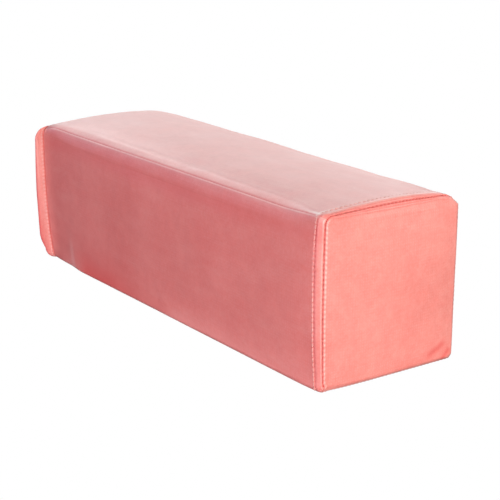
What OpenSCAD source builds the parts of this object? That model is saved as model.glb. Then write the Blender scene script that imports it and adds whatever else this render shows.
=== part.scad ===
// Short foam balance beam: three glued foam boards in a sewn vinyl cover.
// The cover has six panels and closes low down at the back with a moulded zip.
// X runs along the beam, Y from front to back and Z up.
// The origin is at the middle of the base, on the floor.

/* [Beam] */
// Length over both end panels
beam_l = 475; // [456:1:900]
// Width from the front panel to the back panel
beam_w = 147; // [120:1:220]
// Height from the floor to the top panel
beam_h = 150; // [120:1:220]
// Thickness of the cover's vinyl with its knitted backing
vinyl_t = 1; // [0.8:0.1:1.2]
// Room between the foam core and the cover
core_gap = 0.3; // [0.2:0.1:0.6]

/* [Rounding] */
// Radius of the two long top edges
top_edge_r = 16; // [6:1:24]
// Radius of the two long base edges
base_edge_r = 5; // [4:1:10]
// Radius of the left end's edges
left_edge_r = 14; // [8:1:20]
// Length of the left end panel's side wall, from its seam to its rounded edge
left_wall_l = 8; // [2:1:14]
// Radius of the right end's edges
right_edge_r = 8; // [4:1:12]
// Rise of the top panel along its middle
top_crown = 3; // [1:0.5:6]
// Rise of the front panel along its middle
front_crown = 2; // [1:0.5:5]
// Rise of the left end panel at its middle
left_crown = 4; // [2:0.5:8]
// Rise of the right end panel at its middle
right_crown = 4; // [2:0.5:8]

/* [Seams] */
// Angle of a long top edge's rounding that the front or back panel covers
top_wrap_angle = 48; // [30:2:80]
// Distance from the front of the beam to the seam under it
base_seam_in = 10; // [8:1:16]
// Angle of the right end's rounding that the long panels cover
right_wrap_angle = 60; // [40:5:80]

/* [Zip] */
// Height of the zip's middle line above the floor
zip_z = 30; // [26:1:60]
// Length of the opening that the zip closes
zip_open = 380; // [300:1:400]
// Width of the gap between the two hems
zip_gap = 13.6; // [13.4:0.2:16]
// Width of the hem on each side of the gap
hem_w = 10; // [8:1:14]
// Width of one tape
tape_w = 14; // [12:1:16]
// Thickness of a tape
tape_t = 0.6; // [0.5:0.1:0.8]
// Length of tape past each end of the opening
tape_end = 8; // [5:1:12]
// Room between the last tooth and the opening's end
chain_end = 10; // [9:1:14]
// Distance from one tooth to the next in a row
pitch = 3; // [2.6:0.1:3.2]
// Thickness of a tooth through both of its legs
tooth_t = 2.6; // [2.2:0.1:3]

/* [Slider] */
// Length of the slider
slider_l = 12; // [11:0.5:14]
// Thickness of the slider's outer and inner plates
plate_t = 1; // [0.8:0.1:1.3]
// Thickness of the flanges that hold the teeth in
flange_t = 0.8; // [0.6:0.1:1]
// Width of the wedge that parts the teeth
wedge_w = 1.6; // [1.2:0.1:2]
// Running room between the teeth and the slider
run_gap = 0.15; // [0.1:0.05:0.25]
// Running room between the tapes and the flanges
tape_gap = 0.3; // [0.2:0.05:0.4]
// Room between the slider's inner plate and the foam
foam_gap = 0.4; // [0.3:0.1:1]
// Length of the bridge that holds the pull
bridge_l = 8; // [7:0.5:9]
// Width of the bridge
bridge_w = 2.2; // [1.8:0.1:2.6]
// Height of the opening under the bridge
bridge_room = 1.5; // [1.4:0.1:1.8]
// Thickness of the bridge
bridge_t = 0.9; // [0.7:0.1:1.2]

/* [Pull] */
// Length of the pull from its bar to its tip
pull_l = 28; // [20:1:35]
// Width of the pull's tab
pull_w = 7; // [6:0.5:9]
// Thickness of the pull, and of its bar
pull_t = 1.2; // [1:0.1:1.3]
// Width of the two arms beside the bridge
arm_w = 1.2; // [1:0.1:1.5]
// Room between the pull and the slider
pull_gap = 0.15; // [0.1:0.05:0.25]
// Number of ribs that give the fingers a grip
grip_ribs = 4; // [2:1:5]
// Height of a rib
rib_h = 0.3; // [0.2:0.1:0.4]

/* [Hidden] */

VINYL = "#f0918a";
FOAM = "#f4f2ea";
TAPE = "#e0766f";
TEETH = "#d9655f";
METAL = "#c9ccd1";

// Small overlap that fuses two solids of one piece
fuse = 0.01;

half_l = beam_l / 2;
half_w = beam_w / 2;
mid_z = beam_h / 2;

// Least radius of an inner edge, and the length over which the hems part at the opening's ends
least_r = 0.5;
open_lead = 6;
hem_end = zip_open / 2 + tape_end;

// Planes of the seams
left_seam_x = left_crown + left_edge_r + left_wall_l - half_l;
right_seam_x = half_l - right_crown - right_edge_r * (1 - sin(right_wrap_angle));
base_seam_y = half_w - base_seam_in;

// Rows of the zip, measured from its middle line
tooth_reach = 0.44 * pitch;
tooth_back = pitch;
tape_edge = tooth_reach + 0.06 * pitch;
chain_l = zip_open - 2 * chain_end;
teeth_n = floor(chain_l / pitch);
chain_y = half_w - 2 * vinyl_t - tape_t / 2;

// Slider, measured from its middle on the chain's middle plane
slider_x = chain_l / 2 - slider_l / 2;
channel_h = tooth_t / 2 + run_gap;
channel_w = tooth_back + run_gap;
part_angle = 22;
part_start = -slider_l / 4;
part_max = tooth_reach + wedge_w / 2 + run_gap;
wedge_tip = part_start + (tooth_reach + run_gap) / tan(part_angle) + 0.25 * pitch;
wedge_full = wedge_tip + (wedge_w / 2) / tan(part_angle);
bar_y = channel_h + plate_t + pull_gap + pull_t / 2;

// The bed that the zip presses into the foam
bed_y = chain_y - channel_h - plate_t - foam_gap;
bed_half_h = zip_gap / 2 + hem_w + core_gap;

$fn = 64;

// How far a row of teeth stands off its closed place, at x from the slider's middle
function parted(x) = min(max((x - part_start) * tan(part_angle), 0), part_max);

// ---------- Outlines ----------

// Rectangle with a radius for each corner, counter-clockwise from the low left one
module rounded(x0, x1, y0, y1, r) {
    polygon([
        [x0 + r[0], y0], [x1 - r[1], y0], [x1, y0 + r[1]], [x1, y1 - r[2]],
        [x1 - r[2], y1], [x0 + r[3], y1], [x0, y1 - r[3]], [x0, y0 + r[0]]
    ]);
    translate([x0 + r[0], y0 + r[0]]) circle(r[0]);
    translate([x1 - r[1], y0 + r[1]]) circle(r[1]);
    translate([x1 - r[2], y1 - r[2]]) circle(r[2]);
    translate([x0 + r[3], y1 - r[3]]) circle(r[3]);
}

// ---------- Form of the stuffed cover ----------

// The cross-section is walked in eight stretches, so a place on it is a number v from 0 to 8:
// 0 base, 1 front base edge, 2 front, 3 front top edge, 4 top, 5 back top edge, 6 back and
// 7 back base edge. The walk goes forward under the base, up the front and back over the top.

FRONT = -half_w + front_crown;
TOP = beam_h - top_crown;
BASE_SPAN = half_w - FRONT - 2 * base_edge_r;
SIDE_SPAN = TOP - top_edge_r - base_edge_r;

// Places of seams and edges on that walk
FRONT_TOP_SEAM = 3 + top_wrap_angle / 90;
BACK_TOP_SEAM = 6 - top_wrap_angle / 90;
function v_on_base(y) = (half_w - base_edge_r - y) / BASE_SPAN;
function v_on_back(z) = 6 + (TOP - top_edge_r - z) / SIDE_SPAN;

// Height of a shallow bow at the share t of its span
function bow(t) = 4 * t * (1 - t);

function on_arc(y, z, r, a) = [y + r * cos(a), z + r * sin(a)];

// Point [y, z] at v, set in by e from the outer face; full scales the crowns
function section_at(v, e, full) =
    let (
        t = v - floor(v),
        rb = max(base_edge_r - e, least_r),
        rt = max(top_edge_r - e, least_r),
        front = FRONT + e,
        back = half_w - e,
        top = TOP - e,
        stretch = floor(v) % 8
    )
    stretch == 0 ? [back - rb - t * (back - front - 2 * rb), e] :
    stretch == 1 ? on_arc(front + rb, e + rb, rb, 270 - 90 * t) :
    stretch == 2 ? [front - full * front_crown * bow(t), e + rb + t * (top - e - rb - rt)] :
    stretch == 3 ? on_arc(front + rt, top - rt, rt, 180 - 90 * t) :
    stretch == 4 ? [front + rt + t * (back - front - 2 * rt), top + full * top_crown * bow(t)] :
    stretch == 5 ? on_arc(back - rt, top - rt, rt, 90 - 90 * t) :
    stretch == 6 ? [back, top - rt - t * (top - e - rb - rt)] :
    on_arc(back - rb, e + rb, rb, -90 * t);

// Row of points over the places vs, at x, each set in by its own e
function row_at(x, vs, es, full) = [
    for (j = [0:len(vs) - 1])
        let (p = section_at(vs[j], es[j], full)) [x, p[0], p[1]]
];

// Row on a rounded end at the angle a from the long faces, with the walls ds thick
function end_row(rise, r, a, vs, ds) = [
    for (j = [0:len(vs) - 1])
        let (p = section_at(vs[j], r - (r - ds[j]) * cos(a), cos(a)))
            [half_l - rise - r + (r - ds[j]) * sin(a), p[0], p[1]]
];

// Row on an end face, shrunk to the share f about the face's middle
function face_row(rise, r, f, vs, d) = [
    for (v = vs)
        let (p = section_at(v, r, 0))
            [half_l - rise * f * f - d, f * p[0], mid_z + f * (p[1] - mid_z)]
];

// One wall thickness for every place of a row
function same(d, vs) = [for (v = vs) d];

// Evenly spread values from a to b in n steps
function spread(a, b, n) = [for (i = [0:n]) a + (b - a) * i / n];

// Number of steps in each of the eight stretches
STEPS = [1, 4, 6, 5, 8, 5, 2, 4];

// All the steps of the stretches from first to last
function steps_of(first, last) = [
    for (k = [first:last])
        for (i = [0:STEPS[k % 8] - 1]) k + i / STEPS[k % 8]
];

// Steps that lie between v0 and v1, with both of these as ends
function walk(v0, v1) = concat(
    [v0],
    [for (v = steps_of(floor(v0), ceil(v1) - 1)) if (v > v0 + 0.001 && v < v1 - 0.001) v],
    [v1]
);

// Whole way round, without the repeated last place
AROUND = steps_of(0, 7);

// ---------- Solids from rows of points ----------

// Two triangles for the four corners a, b, c and d, clockwise from outside
function quad(a, b, c, d) = [[a, b, c], [a, c, d]];

function joined(lists) = [for (part = lists) for (item = part) item];

// Panel between an outer and an inner grid of rows
module panel_solid(outer, inner) {
    rows = len(outer);
    n = len(outer[0]);
    deep = rows * n;
    last = (rows - 1) * n;
    faces = joined([
        joined([for (i = [0:rows - 2]) for (j = [0:n - 2])
            let (a = i * n + j) quad(a, a + 1, a + n + 1, a + n)]),
        joined([for (i = [0:rows - 2]) for (j = [0:n - 2])
            let (a = deep + i * n + j) quad(a, a + n, a + n + 1, a + 1)]),
        joined([for (j = [0:n - 2]) quad(j, deep + j, deep + j + 1, j + 1)]),
        joined([for (j = [last:last + n - 2]) quad(j + 1, deep + j + 1, deep + j, j)]),
        joined([for (i = [0:rows - 2])
            let (a = i * n) quad(a, a + n, deep + a + n, deep + a)]),
        joined([for (i = [0:rows - 2])
            let (a = i * n + n - 1) quad(a + n, a, deep + a, deep + a + n)])
    ]);
    polyhedron(concat(joined(outer), joined(inner)), faces, convexity = 6);
}

// End panel between an outer and an inner stack of closed rows, each with a middle point
module end_solid(outer, inner, outer_mid, inner_mid) {
    rows = len(outer);
    n = len(outer[0]);
    deep = rows * n;
    last = (rows - 1) * n;
    mid = 2 * deep;
    faces = joined([
        joined([for (i = [0:rows - 2]) for (j = [0:n - 1])
            let (a = i * n + j, b = i * n + (j + 1) % n) quad(a, b, b + n, a + n)]),
        joined([for (i = [0:rows - 2]) for (j = [0:n - 1])
            let (a = deep + i * n + j, b = deep + i * n + (j + 1) % n) quad(a, a + n, b + n, b)]),
        joined([for (j = [0:n - 1])
            let (b = (j + 1) % n) quad(j, deep + j, deep + b, b)]),
        [for (j = [0:n - 1]) [last + j, last + (j + 1) % n, mid]],
        [for (j = [0:n - 1]) [deep + last + (j + 1) % n, deep + last + j, mid + 1]]
    ]);
    polyhedron(concat(joined(outer), joined(inner), [outer_mid, inner_mid]), faces, convexity = 6);
}

// Closed solid from a stack of closed rows, with a middle point at each end
module block_solid(stack, first_mid, last_mid) {
    rows = len(stack);
    n = len(stack[0]);
    last = (rows - 1) * n;
    mid = rows * n;
    faces = joined([
        joined([for (i = [0:rows - 2]) for (j = [0:n - 1])
            let (a = i * n + j, b = i * n + (j + 1) % n) quad(a, b, b + n, a + n)]),
        [for (j = [0:n - 1]) [(j + 1) % n, j, mid]],
        [for (j = [0:n - 1]) [last + j, last + (j + 1) % n, mid + 1]]
    ]);
    polyhedron(concat(joined(stack), [first_mid, last_mid]), faces, convexity = 6);
}

// ---------- Cover ----------

// Long panel of one thickness between the places v0 and v1, from end seam to end seam
module plain_panel(v0, v1) {
    vs = walk(v0, v1);
    function rows(d) = concat(
        [row_at(left_seam_x, vs, same(d, vs), 1)],
        [for (a = spread(0, right_wrap_angle, 3))
            end_row(right_crown, right_edge_r, a, vs, same(d, vs))]
    );
    color(VINYL) panel_solid(rows(0), rows(vinyl_t));
}

module top_panel() { plain_panel(FRONT_TOP_SEAM, BACK_TOP_SEAM); }
module front_panel() { plain_panel(v_on_base(-base_seam_y), FRONT_TOP_SEAM); }

// How far the hems stand open at x: 0 past the opening's ends and 1 along it
function open_at(x) = min(max((zip_open / 2 - abs(x)) / open_lead, 0), 1);

// Places along the beam where a panel beside the zip changes
ZIP_STATIONS = [
    left_seam_x, -hem_end - 1, -hem_end, -zip_open / 2, open_lead - zip_open / 2,
    zip_open / 2 - open_lead, zip_open / 2, hem_end, hem_end + 1
];

// Long panel from its far seam at v_far to the zip, where its edge is folded under;
// side is 1 for the panel above the zip and -1 for the one below it
module zip_panel(v_far, side) {
    hem_top = zip_gap / 2 + hem_w;
    outer_v = v_on_back(zip_z + side * hem_top);
    inner_v = v_on_back(zip_z + side * (hem_top - vinyl_t));
    function edge_v(x) = v_on_back(zip_z + side * zip_gap / 2 * open_at(x));
    function places(x) = side > 0
        ? concat(walk(v_far, outer_v), [inner_v, edge_v(x)])
        : concat([edge_v(x), inner_v], walk(outer_v, v_far));
    n = len(places(0));
    function walls(x, d) = [
        for (j = [0:n - 1])
            let (from_edge = side > 0 ? n - 1 - j : j)
                from_edge < 2 && abs(x) <= hem_end + 0.5 ? 2 * d : d
    ];
    function rows(d) = concat(
        [for (x = ZIP_STATIONS) row_at(x, places(x), walls(x, d), 1)],
        [for (a = spread(0, right_wrap_angle, 3))
            end_row(right_crown, right_edge_r, a, places(half_l), walls(half_l, d))]
    );
    color(VINYL) panel_solid(rows(0), rows(vinyl_t));
}

module back_panel() { zip_panel(BACK_TOP_SEAM, 1); }
module base_panel() { zip_panel(8 + v_on_base(-base_seam_y), -1); }

// End panel that points along +X: its seam lies at the angle a of the rounding, or at the
// foot of a straight side wall
module end_panel(rise, r, a, wall_l) {
    function rows(d) = concat(
        wall_l > 0 ? [row_at(half_l - rise - r - wall_l, AROUND, same(d, AROUND), 1)] : [],
        [for (b = spread(a, 90, 4)) end_row(rise, r, b, AROUND, same(d, AROUND))],
        [for (f = [0.8, 0.55, 0.28]) face_row(rise, r, f, AROUND, d)]
    );
    color(VINYL)
        end_solid(rows(0), rows(vinyl_t), [half_l, 0, mid_z], [half_l - vinyl_t, 0, mid_z]);
}

module right_end_panel() { end_panel(right_crown, right_edge_r, right_wrap_angle, 0); }
module left_end_panel() { mirror([1, 0, 0]) end_panel(left_crown, left_edge_r, 0, left_wall_l); }

// ---------- Foam core ----------

// Rows of one end of the core, from its middle to the long faces, pointing along +X
function core_end(rise, r, d) = concat(
    [for (f = [0.28, 0.55, 0.8]) face_row(rise, r, f, AROUND, d)],
    [for (a = spread(90, 0, 4)) end_row(rise, r, a, AROUND, same(d, AROUND))]
);

function reversed(list) = [for (i = [len(list) - 1:-1:0]) list[i]];

// Whole core before it is cut into boards, set in by d from the cover's outer face
module core(d) {
    left = [for (row = core_end(left_crown, left_edge_r, d)) [for (p = row) [-p[0], p[1], p[2]]]];
    right = reversed(core_end(right_crown, right_edge_r, d));
    block_solid(concat(left, right), [d - half_l, 0, mid_z], [half_l - d, 0, mid_z]);
}

// One glued board of the core: number 0 is the lowest of three
module core_board(number) {
    low = vinyl_t + core_gap;
    board_h = (beam_h - 2 * low) / 3;
    color(FOAM) difference() {
        intersection() {
            core(low);
            translate([-half_l, -half_w, low + number * board_h - (number == 0 ? 1 : 0)])
                cube([beam_l, beam_w, board_h + (number == 1 ? 0 : 1)]);
        }
        zip_bed();
    }
}

module core_board_lower() { core_board(0); }
module core_board_middle() { core_board(1); }
module core_board_upper() { core_board(2); }

// Room that the hems, tapes and slider press into the foam
module zip_bed() {
    bed_l = 2 * (hem_end + 1 + core_gap);
    translate([-bed_l / 2, half_w - 2 * vinyl_t - tape_t - core_gap, zip_z - bed_half_h])
        cube([bed_l, beam_w, 2 * bed_half_h]);
    translate([-bed_l / 2, bed_y, zip_z - zip_gap / 2])
        cube([bed_l, beam_w, zip_gap]);
}

// ---------- Zip ----------

// Puts a zip part, drawn about the chain's middle line, in its place
module at_zip() {
    translate([0, chain_y, zip_z]) children();
}

// Extrudes an outline drawn in X and Z, centred on the chain's middle plane
module flat(thickness) {
    rotate([90, 0, 0]) linear_extrude(thickness, center = true) children();
}

// Upper tape; its inner edge follows the parted teeth beside the slider
module tape() {
    end = hem_end;
    lead = pitch / 2;
    part_0 = slider_x + part_start - lead;
    part_1 = part_0 + part_max / tan(part_angle);
    color(TAPE) flat(tape_t) polygon([
        [-end, tape_edge], [part_0, tape_edge], [part_1, tape_edge + part_max],
        [end, tape_edge + part_max], [end, tape_edge + tape_w], [-end, tape_edge + tape_w]
    ]);
}

module zip_tape_upper() { at_zip() tape(); }
module zip_tape_lower() { at_zip() mirror([0, 0, 1]) tape(); }

// Outline of one tooth of the upper row: a headed tongue that hooks between its opposite pair
module tooth_outline() {
    side = [
        [0.14, -0.44], [0.25, -0.32], [0.25, -0.18], [0.19, 0.1], [0.19, 0.36], [0.38, 0.56], [0.38, 1]
    ];
    other = [for (i = [len(side) - 1:-1:0]) [-side[i][0], side[i][1]]];
    scale(pitch) polygon(concat(side, other));
}

// Tooth with its two legs astride the tape
module tooth() {
    difference() {
        flat(tooth_t) tooth_outline();
        translate([-pitch, -tape_t / 2, tape_edge]) cube([2 * pitch, tape_t, pitch]);
    }
}

// Upper row of teeth; shift moves it by a share of the pitch, to mesh with the other row
module teeth_row(shift) {
    color(TEETH) for (i = [0:teeth_n - 2]) {
        x = -chain_l / 2 + (i + 0.5 + shift) * pitch;
        translate([x, 0, parted(x - slider_x)]) tooth();
    }
}

module zip_teeth_upper() { at_zip() teeth_row(0); }
module zip_teeth_lower() { at_zip() mirror([0, 0, 1]) teeth_row(0.5); }

// Clip on the upper tape that ends the slider's travel
module top_stop() {
    difference() {
        flat(tooth_t)
            rounded(0, pitch, tape_edge - 0.4 * pitch, tape_edge + 0.8 * pitch, [0.4, 0.4, 0.4, 0.4] * pitch / 2);
        translate([-pitch, -tape_t / 2, tape_edge]) cube([3 * pitch, tape_t, 2 * pitch]);
    }
}

module zip_top_stops() {
    color(TEETH) at_zip()
        for (side = [0, 1])
            mirror([0, 0, side])
                translate([slider_x + slider_l / 2 + 2 * run_gap, 0, part_max]) top_stop();
}

// Block that joins both tapes behind the last teeth
module zip_bottom_stop() {
    edge = tape_edge + 0.8 * pitch;
    color(TEETH) at_zip() translate([-chain_l / 2 - 1.6 * pitch, 0, 0]) difference() {
        flat(tooth_t) rounded(0, 1.4 * pitch, -edge, edge, [0.3, 0.3, 0.3, 0.3] * pitch);
        for (side = [0, 1])
            mirror([0, 0, side])
                translate([-1, -tape_t / 2, tape_edge]) cube([2 * pitch, tape_t, pitch]);
    }
}

// Outline of the slider's channel, grown by wall at its sides and closed at its ends by cut corners
module slider_outline(wall, over, corner) {
    rear = channel_w + wall;
    front = rear + part_max;
    x0 = -slider_l / 2 - over;
    x1 = slider_l / 2 + over;
    x_part = part_start - pitch / 2;
    x_full = x_part + part_max / tan(part_angle);
    side = [
        [x0, rear - corner], [x0 + corner, rear], [x_part, rear],
        [x_full, front], [x1 - corner, front], [x1, front - corner]
    ];
    other = [for (i = [len(side) - 1:-1:0]) [side[i][0], -side[i][1]]];
    polygon(concat(side, other));
}

// Outer plate with its two flanges; the inner one is its mirror image
module slider_plate() {
    flange_y = tape_t / 2 + tape_gap;
    translate([0, channel_h + plate_t / 2, 0]) flat(plate_t) slider_outline(flange_t, 0, 0.9);
    translate([0, (flange_y + channel_h + fuse) / 2, 0])
        flat(channel_h - flange_y + fuse) difference() {
            slider_outline(flange_t, 0, 0.9);
            slider_outline(0, 1, 0.1);
        }
}

// Wedge that joins the two plates and parts the teeth
module slider_wedge() {
    front = slider_l / 2 - 0.3;
    half = wedge_w / 2;
    flat(2 * channel_h + 2 * fuse) polygon([
        [wedge_tip, 0], [wedge_full, half], [front - half, half],
        [front, 0], [front - half, -half], [wedge_full, -half]
    ]);
}

// Arch over the outer plate, with the pull's bar under it
module slider_bridge() {
    low = channel_h + plate_t;
    height = bridge_room + bridge_t;
    post = 1.2;
    linear_extrude(bridge_w, center = true) difference() {
        rounded(-bridge_l / 2, bridge_l / 2, low - plate_t / 2, low + height, [0.5, 0.5, 1.2, 1.2]);
        rounded(
            -bridge_l / 2 + post, bridge_l / 2 - post, low, low + bridge_room,
            [0.5, 0.5, 0.6, 0.6]
        );
    }
}

module zip_slider() {
    color(METAL) at_zip() translate([slider_x, 0, 0]) {
        slider_plate();
        mirror([0, 1, 0]) slider_plate();
        slider_wedge();
        slider_bridge();
    }
}

// Flat tab that lies back along the chain, with a window round the bridge and a bar under it
module zip_pull() {
    window_half = bridge_w / 2 + 2 * pull_gap;
    arm_half = window_half + arm_w;
    window_l = bridge_l / 2 + bridge_t + 2 * pull_gap;
    neck_x = -window_l - arm_w;
    tab_half = pull_w / 2;
    rib_step = 1.6;
    color(METAL) at_zip() translate([slider_x, bar_y, 0]) {
        flat(pull_t) difference() {
            union() {
                translate([neck_x, -arm_half]) square([-neck_x, 2 * arm_half]);
                rounded(-pull_l, neck_x + 1, -tab_half, tab_half, [2.5, 1, 1, 2.5]);
            }
            translate([-window_l, -window_half]) square([window_l + 1, 2 * window_half]);
        }
        cylinder(h = 2 * arm_half, r = pull_t / 2, center = true);
        for (i = [0:grip_ribs - 1])
            translate([-pull_l + 3.5 + i * rib_step, pull_t / 2 + rib_h / 2 - fuse, 0])
                cube([0.7, rib_h + 2 * fuse, pull_w - 2], center = true);
    }
}

core_board_lower();
core_board_middle();
core_board_upper();
top_panel();
front_panel();
back_panel();
base_panel();
left_end_panel();
right_end_panel();
zip_tape_upper();
zip_tape_lower();
zip_teeth_upper();
zip_teeth_lower();
zip_top_stops();
zip_bottom_stop();
zip_slider();
zip_pull();
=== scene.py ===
import math

import bmesh
import bpy
import numpy as np
from bpy.props import FloatProperty, FloatVectorProperty, PointerProperty
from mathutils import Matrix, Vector


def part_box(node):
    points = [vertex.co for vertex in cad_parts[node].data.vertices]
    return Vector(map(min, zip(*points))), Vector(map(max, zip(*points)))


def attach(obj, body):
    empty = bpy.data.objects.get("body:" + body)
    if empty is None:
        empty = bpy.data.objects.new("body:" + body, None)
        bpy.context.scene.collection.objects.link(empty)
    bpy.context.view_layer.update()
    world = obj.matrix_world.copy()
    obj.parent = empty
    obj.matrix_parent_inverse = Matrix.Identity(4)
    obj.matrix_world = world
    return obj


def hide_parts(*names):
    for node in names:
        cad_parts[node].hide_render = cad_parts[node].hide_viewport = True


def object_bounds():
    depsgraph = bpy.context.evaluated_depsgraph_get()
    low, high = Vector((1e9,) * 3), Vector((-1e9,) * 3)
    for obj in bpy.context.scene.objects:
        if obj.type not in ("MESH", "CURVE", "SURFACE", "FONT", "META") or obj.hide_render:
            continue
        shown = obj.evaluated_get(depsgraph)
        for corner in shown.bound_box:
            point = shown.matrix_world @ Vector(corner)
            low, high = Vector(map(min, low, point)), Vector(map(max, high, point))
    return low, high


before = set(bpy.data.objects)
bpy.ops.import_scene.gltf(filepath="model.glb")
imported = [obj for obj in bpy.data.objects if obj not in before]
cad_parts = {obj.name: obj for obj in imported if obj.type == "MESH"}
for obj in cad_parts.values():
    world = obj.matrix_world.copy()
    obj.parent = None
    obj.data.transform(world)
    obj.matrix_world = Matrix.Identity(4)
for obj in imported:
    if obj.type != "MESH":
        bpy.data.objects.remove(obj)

bl_info = {
    "name": "Foam balance beam",
    "version": (1, 0, 0),
    "blender": (4, 5, 0),
    "location": "View3D > Sidebar > Beam",
    "description": "Sews the vinyl cover of a short foam balance beam and sets up its studio",
    "category": "Object",
}

MM = 0.001
CAD_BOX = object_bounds()

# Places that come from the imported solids
PART_LOW, PART_HIGH = CAD_BOX
TAPE_LOW, TAPE_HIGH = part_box("zip_tape_upper")
HALF_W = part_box("back_panel")[1].y
HEIGHT = PART_HIGH.z
ZIP_Z = (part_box("zip_teeth_upper")[0].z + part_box("zip_teeth_lower")[1].z) / 2


# ---------- Sizes and colours ----------

def length(name, description, millimetres):
    """Length whose default is given in millimetres."""
    return FloatProperty(
        name=name, description=description, default=millimetres * MM, min=0,
        subtype="DISTANCE", unit="LENGTH",
    )


def angle(name, description, degrees):
    return FloatProperty(
        name=name, description=description, default=math.radians(degrees),
        subtype="ANGLE", unit="ROTATION",
    )


def colour(name, description, value):
    return FloatVectorProperty(
        name=name, description=description, default=value, size=3, min=0, max=1, subtype="COLOR",
    )


class CoverSizes(bpy.types.PropertyGroup):
    top_r: length("Top edge radius", "Radius of the two long top edges", 16)
    front_r_right: length(
        "Right top corner radius", "Radius of the front top edge where it reaches the right end", 6.5)
    front_r_left: length(
        "Left top corner radius", "Radius of the front top edge where it reaches the left seam", 9)
    back_r_right: length(
        "Back top corner radius", "Radius of the back top edge where it reaches the right end", 21)
    tighten_l: length(
        "Tightening", "Length over which the edges change radius towards the right end", 60)
    base_r: length("Base edge radius", "Radius of the two long base edges", 5)
    toe_r: length("Toe radius", "Radius of the front base edge where it reaches the right end", 5)
    side_r: length("Right side radius", "Radius of the right end's front upright edge", 8)
    back_side_r: length("Back side radius", "Radius of the right end's back upright edge", 6)
    crest_r: length("Right top radius", "Radius of the right end's top edge", 4)
    foot_r: length("Right foot radius", "Radius of the right end's base edge", 5)
    toe_lift: length(
        "Toe lift", "How far the corner at the front of the right end stands off the floor", 2)
    wrap: angle("Right wrap", "Angle of the right end's rounding that the front and the top cover", 60)
    wrap_hidden: angle(
        "Hidden wrap", "Angle of the right end's rounding that the back and the base cover", 12)
    back_slope: FloatProperty(
        name="Back slope", description="Share of a flat slope in the top's back edge at the right end",
        default=0.65, min=0, max=1,
    )
    top_seam: angle("Top seam", "Angle up a top edge's rounding where its seam lies", 43)
    top_crown: length("Top crown", "Rise of the top along its middle", 3)
    front_crown: length("Front crown", "Rise of the front along its middle", 2)
    left_crown: length("Left crown", "Rise of the left end at its middle", 2)
    right_crown: length("Right crown", "Rise of the right end at its middle", 4)
    pull_in: length("Seam pull", "How far the left seam pulls the sides in", 2.5)
    pull_l: length("Pull length", "Length over which the cover runs in to the left seam", 14)
    top_pull: length("Top pull", "How far the left seam pulls the top down", 6.2)
    skirt_pull: length("Skirt pull", "How far the front is drawn in near the floor at the left", 2.5)
    skirt_l: length("Skirt length", "Length of the drawn-in stretch near the floor", 68)
    back_drop: length("Back drop", "How much lower the top's back edge has settled", 2.2)
    taut_l: length(
        "Taut length", "Length over which the top's back edge rises again to the right end", 65)
    left_seam_in: length("Left seam", "Distance of the left seam's foot from the beam's left end", 8)
    swell: length("Swell", "How far the left end panel puffs out past the beam's side", 14)
    lean: length("Seam lean", "How far the top of the left seam leans out past its foot", 4)
    base_seam_in: length("Base seam", "Distance from the front to the seam under the beam", 10)
    zip_open: length("Zip opening", "Length of the opening between the hems", 380)
    zip_gap: length("Zip gap", "Height of the opening between the hems", 13.6)


class SeamSizes(bpy.types.PropertyGroup):
    pitch: length("Stitch", "Distance from one stitch to the next", 3.9)
    thread_r: length("Thread", "Radius of the thread", 0.34)
    lip: length("Lip", "How far a sewn edge stands proud beside its seam", 0.4)
    depth: length("Seam depth", "Depth at which the edges sewn round the ends turn in", 1.6)
    long_depth: length("Long seam depth", "Depth at which the edges of the long seams turn in", 0.2)
    topstitch_in: length("Topstitch", "Distance from the right seam to the topstitch", 6.8)
    thread_out: length(
        "Thread row", "Distance of the topstitch's threads beyond the folded edge's crease", 1.3)
    channel: length("Channel", "Depth of the topstitch's channel", 0.2)
    dimple: length("Dimple", "Depth of a needle hole's dimple", 0.65)
    fold_t: length(
        "Seam allowance", "Thickness of the edge folded back under a topstitched or hemmed edge", 0.35)
    hem_in: length("Hem stitch", "Distance from a hem's edge to its row of stitches", 8)


class Finish(bpy.types.PropertyGroup):
    vinyl: colour("Vinyl", "Colour of the vinyl", (0.82, 0.26, 0.245))
    # vinyl_mottle_and_shade colours the darker mottling and, brought down further, the painted shade in
    # seams, creases and folds
    vinyl_mottle_and_shade: colour("Deep vinyl", "Colour of the vinyl's darker mottling", (0.77, 0.205, 0.194))
    thread: colour("Thread", "Colour of the thread", (0.87, 0.44, 0.42))
    tape: colour("Zip tape", "Colour of the zip's tapes", (0.66, 0.17, 0.16))
    teeth: colour("Zip teeth", "Colour of the zip's teeth", (0.60, 0.13, 0.12))
    metal: colour("Zip metal", "Colour of the slider, the pull and the stops", (0.8, 0.79, 0.78))
    foam: colour("Foam", "Colour of the foam", (0.87, 0.85, 0.79))
    floor: colour("Floor", "Colour of the floor", (1.0, 1.0, 1.0))


class StageSizes(bpy.types.PropertyGroup):
    eye: FloatVectorProperty(
        name="Camera", description="Place of the camera", default=(0.985, -0.669, 0.402), size=3,
        subtype="TRANSLATION", unit="LENGTH",
    )
    turn: angle("Turn", "Camera's turn about the vertical", 54.771)
    dip: angle("Dip", "Camera's dip below level", 16.39)
    lens: FloatProperty(name="Lens", description="Focal length", default=94.57, subtype="DISTANCE_CAMERA")


# ---------- Form of the stuffed cover ----------

SLUMP = 0.67  # share of an edge's height that it loses where it has slumped into a flat slope
BACK_TUCK = 0.6 * MM  # how far the back's foot is drawn in near the right end
TOE_L = 8 * MM  # length over which the lifted toe comes down to the floor
# how far the left end's face lies in from the front, the back, the top and the base
LEFT_IN_FRONT, LEFT_IN_BACK, LEFT_IN_TOP, LEFT_IN_BASE = 13 * MM, 15 * MM, 18 * MM, 10 * MM
LEFT_BASE_R, LEFT_TOP_R = 14 * MM, 16 * MM  # radii of that face's corners
SOFT_RISE, WIDE_RISE = 0.10 * MM, 0.35 * MM  # height of the stuffing's small and large unevenness


def ease(t):
    """Smooth step from 0 at t = 0 to 1 at t = 1."""
    t = np.clip(t, 0, 1)
    return t * t * (3 - 2 * t)


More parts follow.
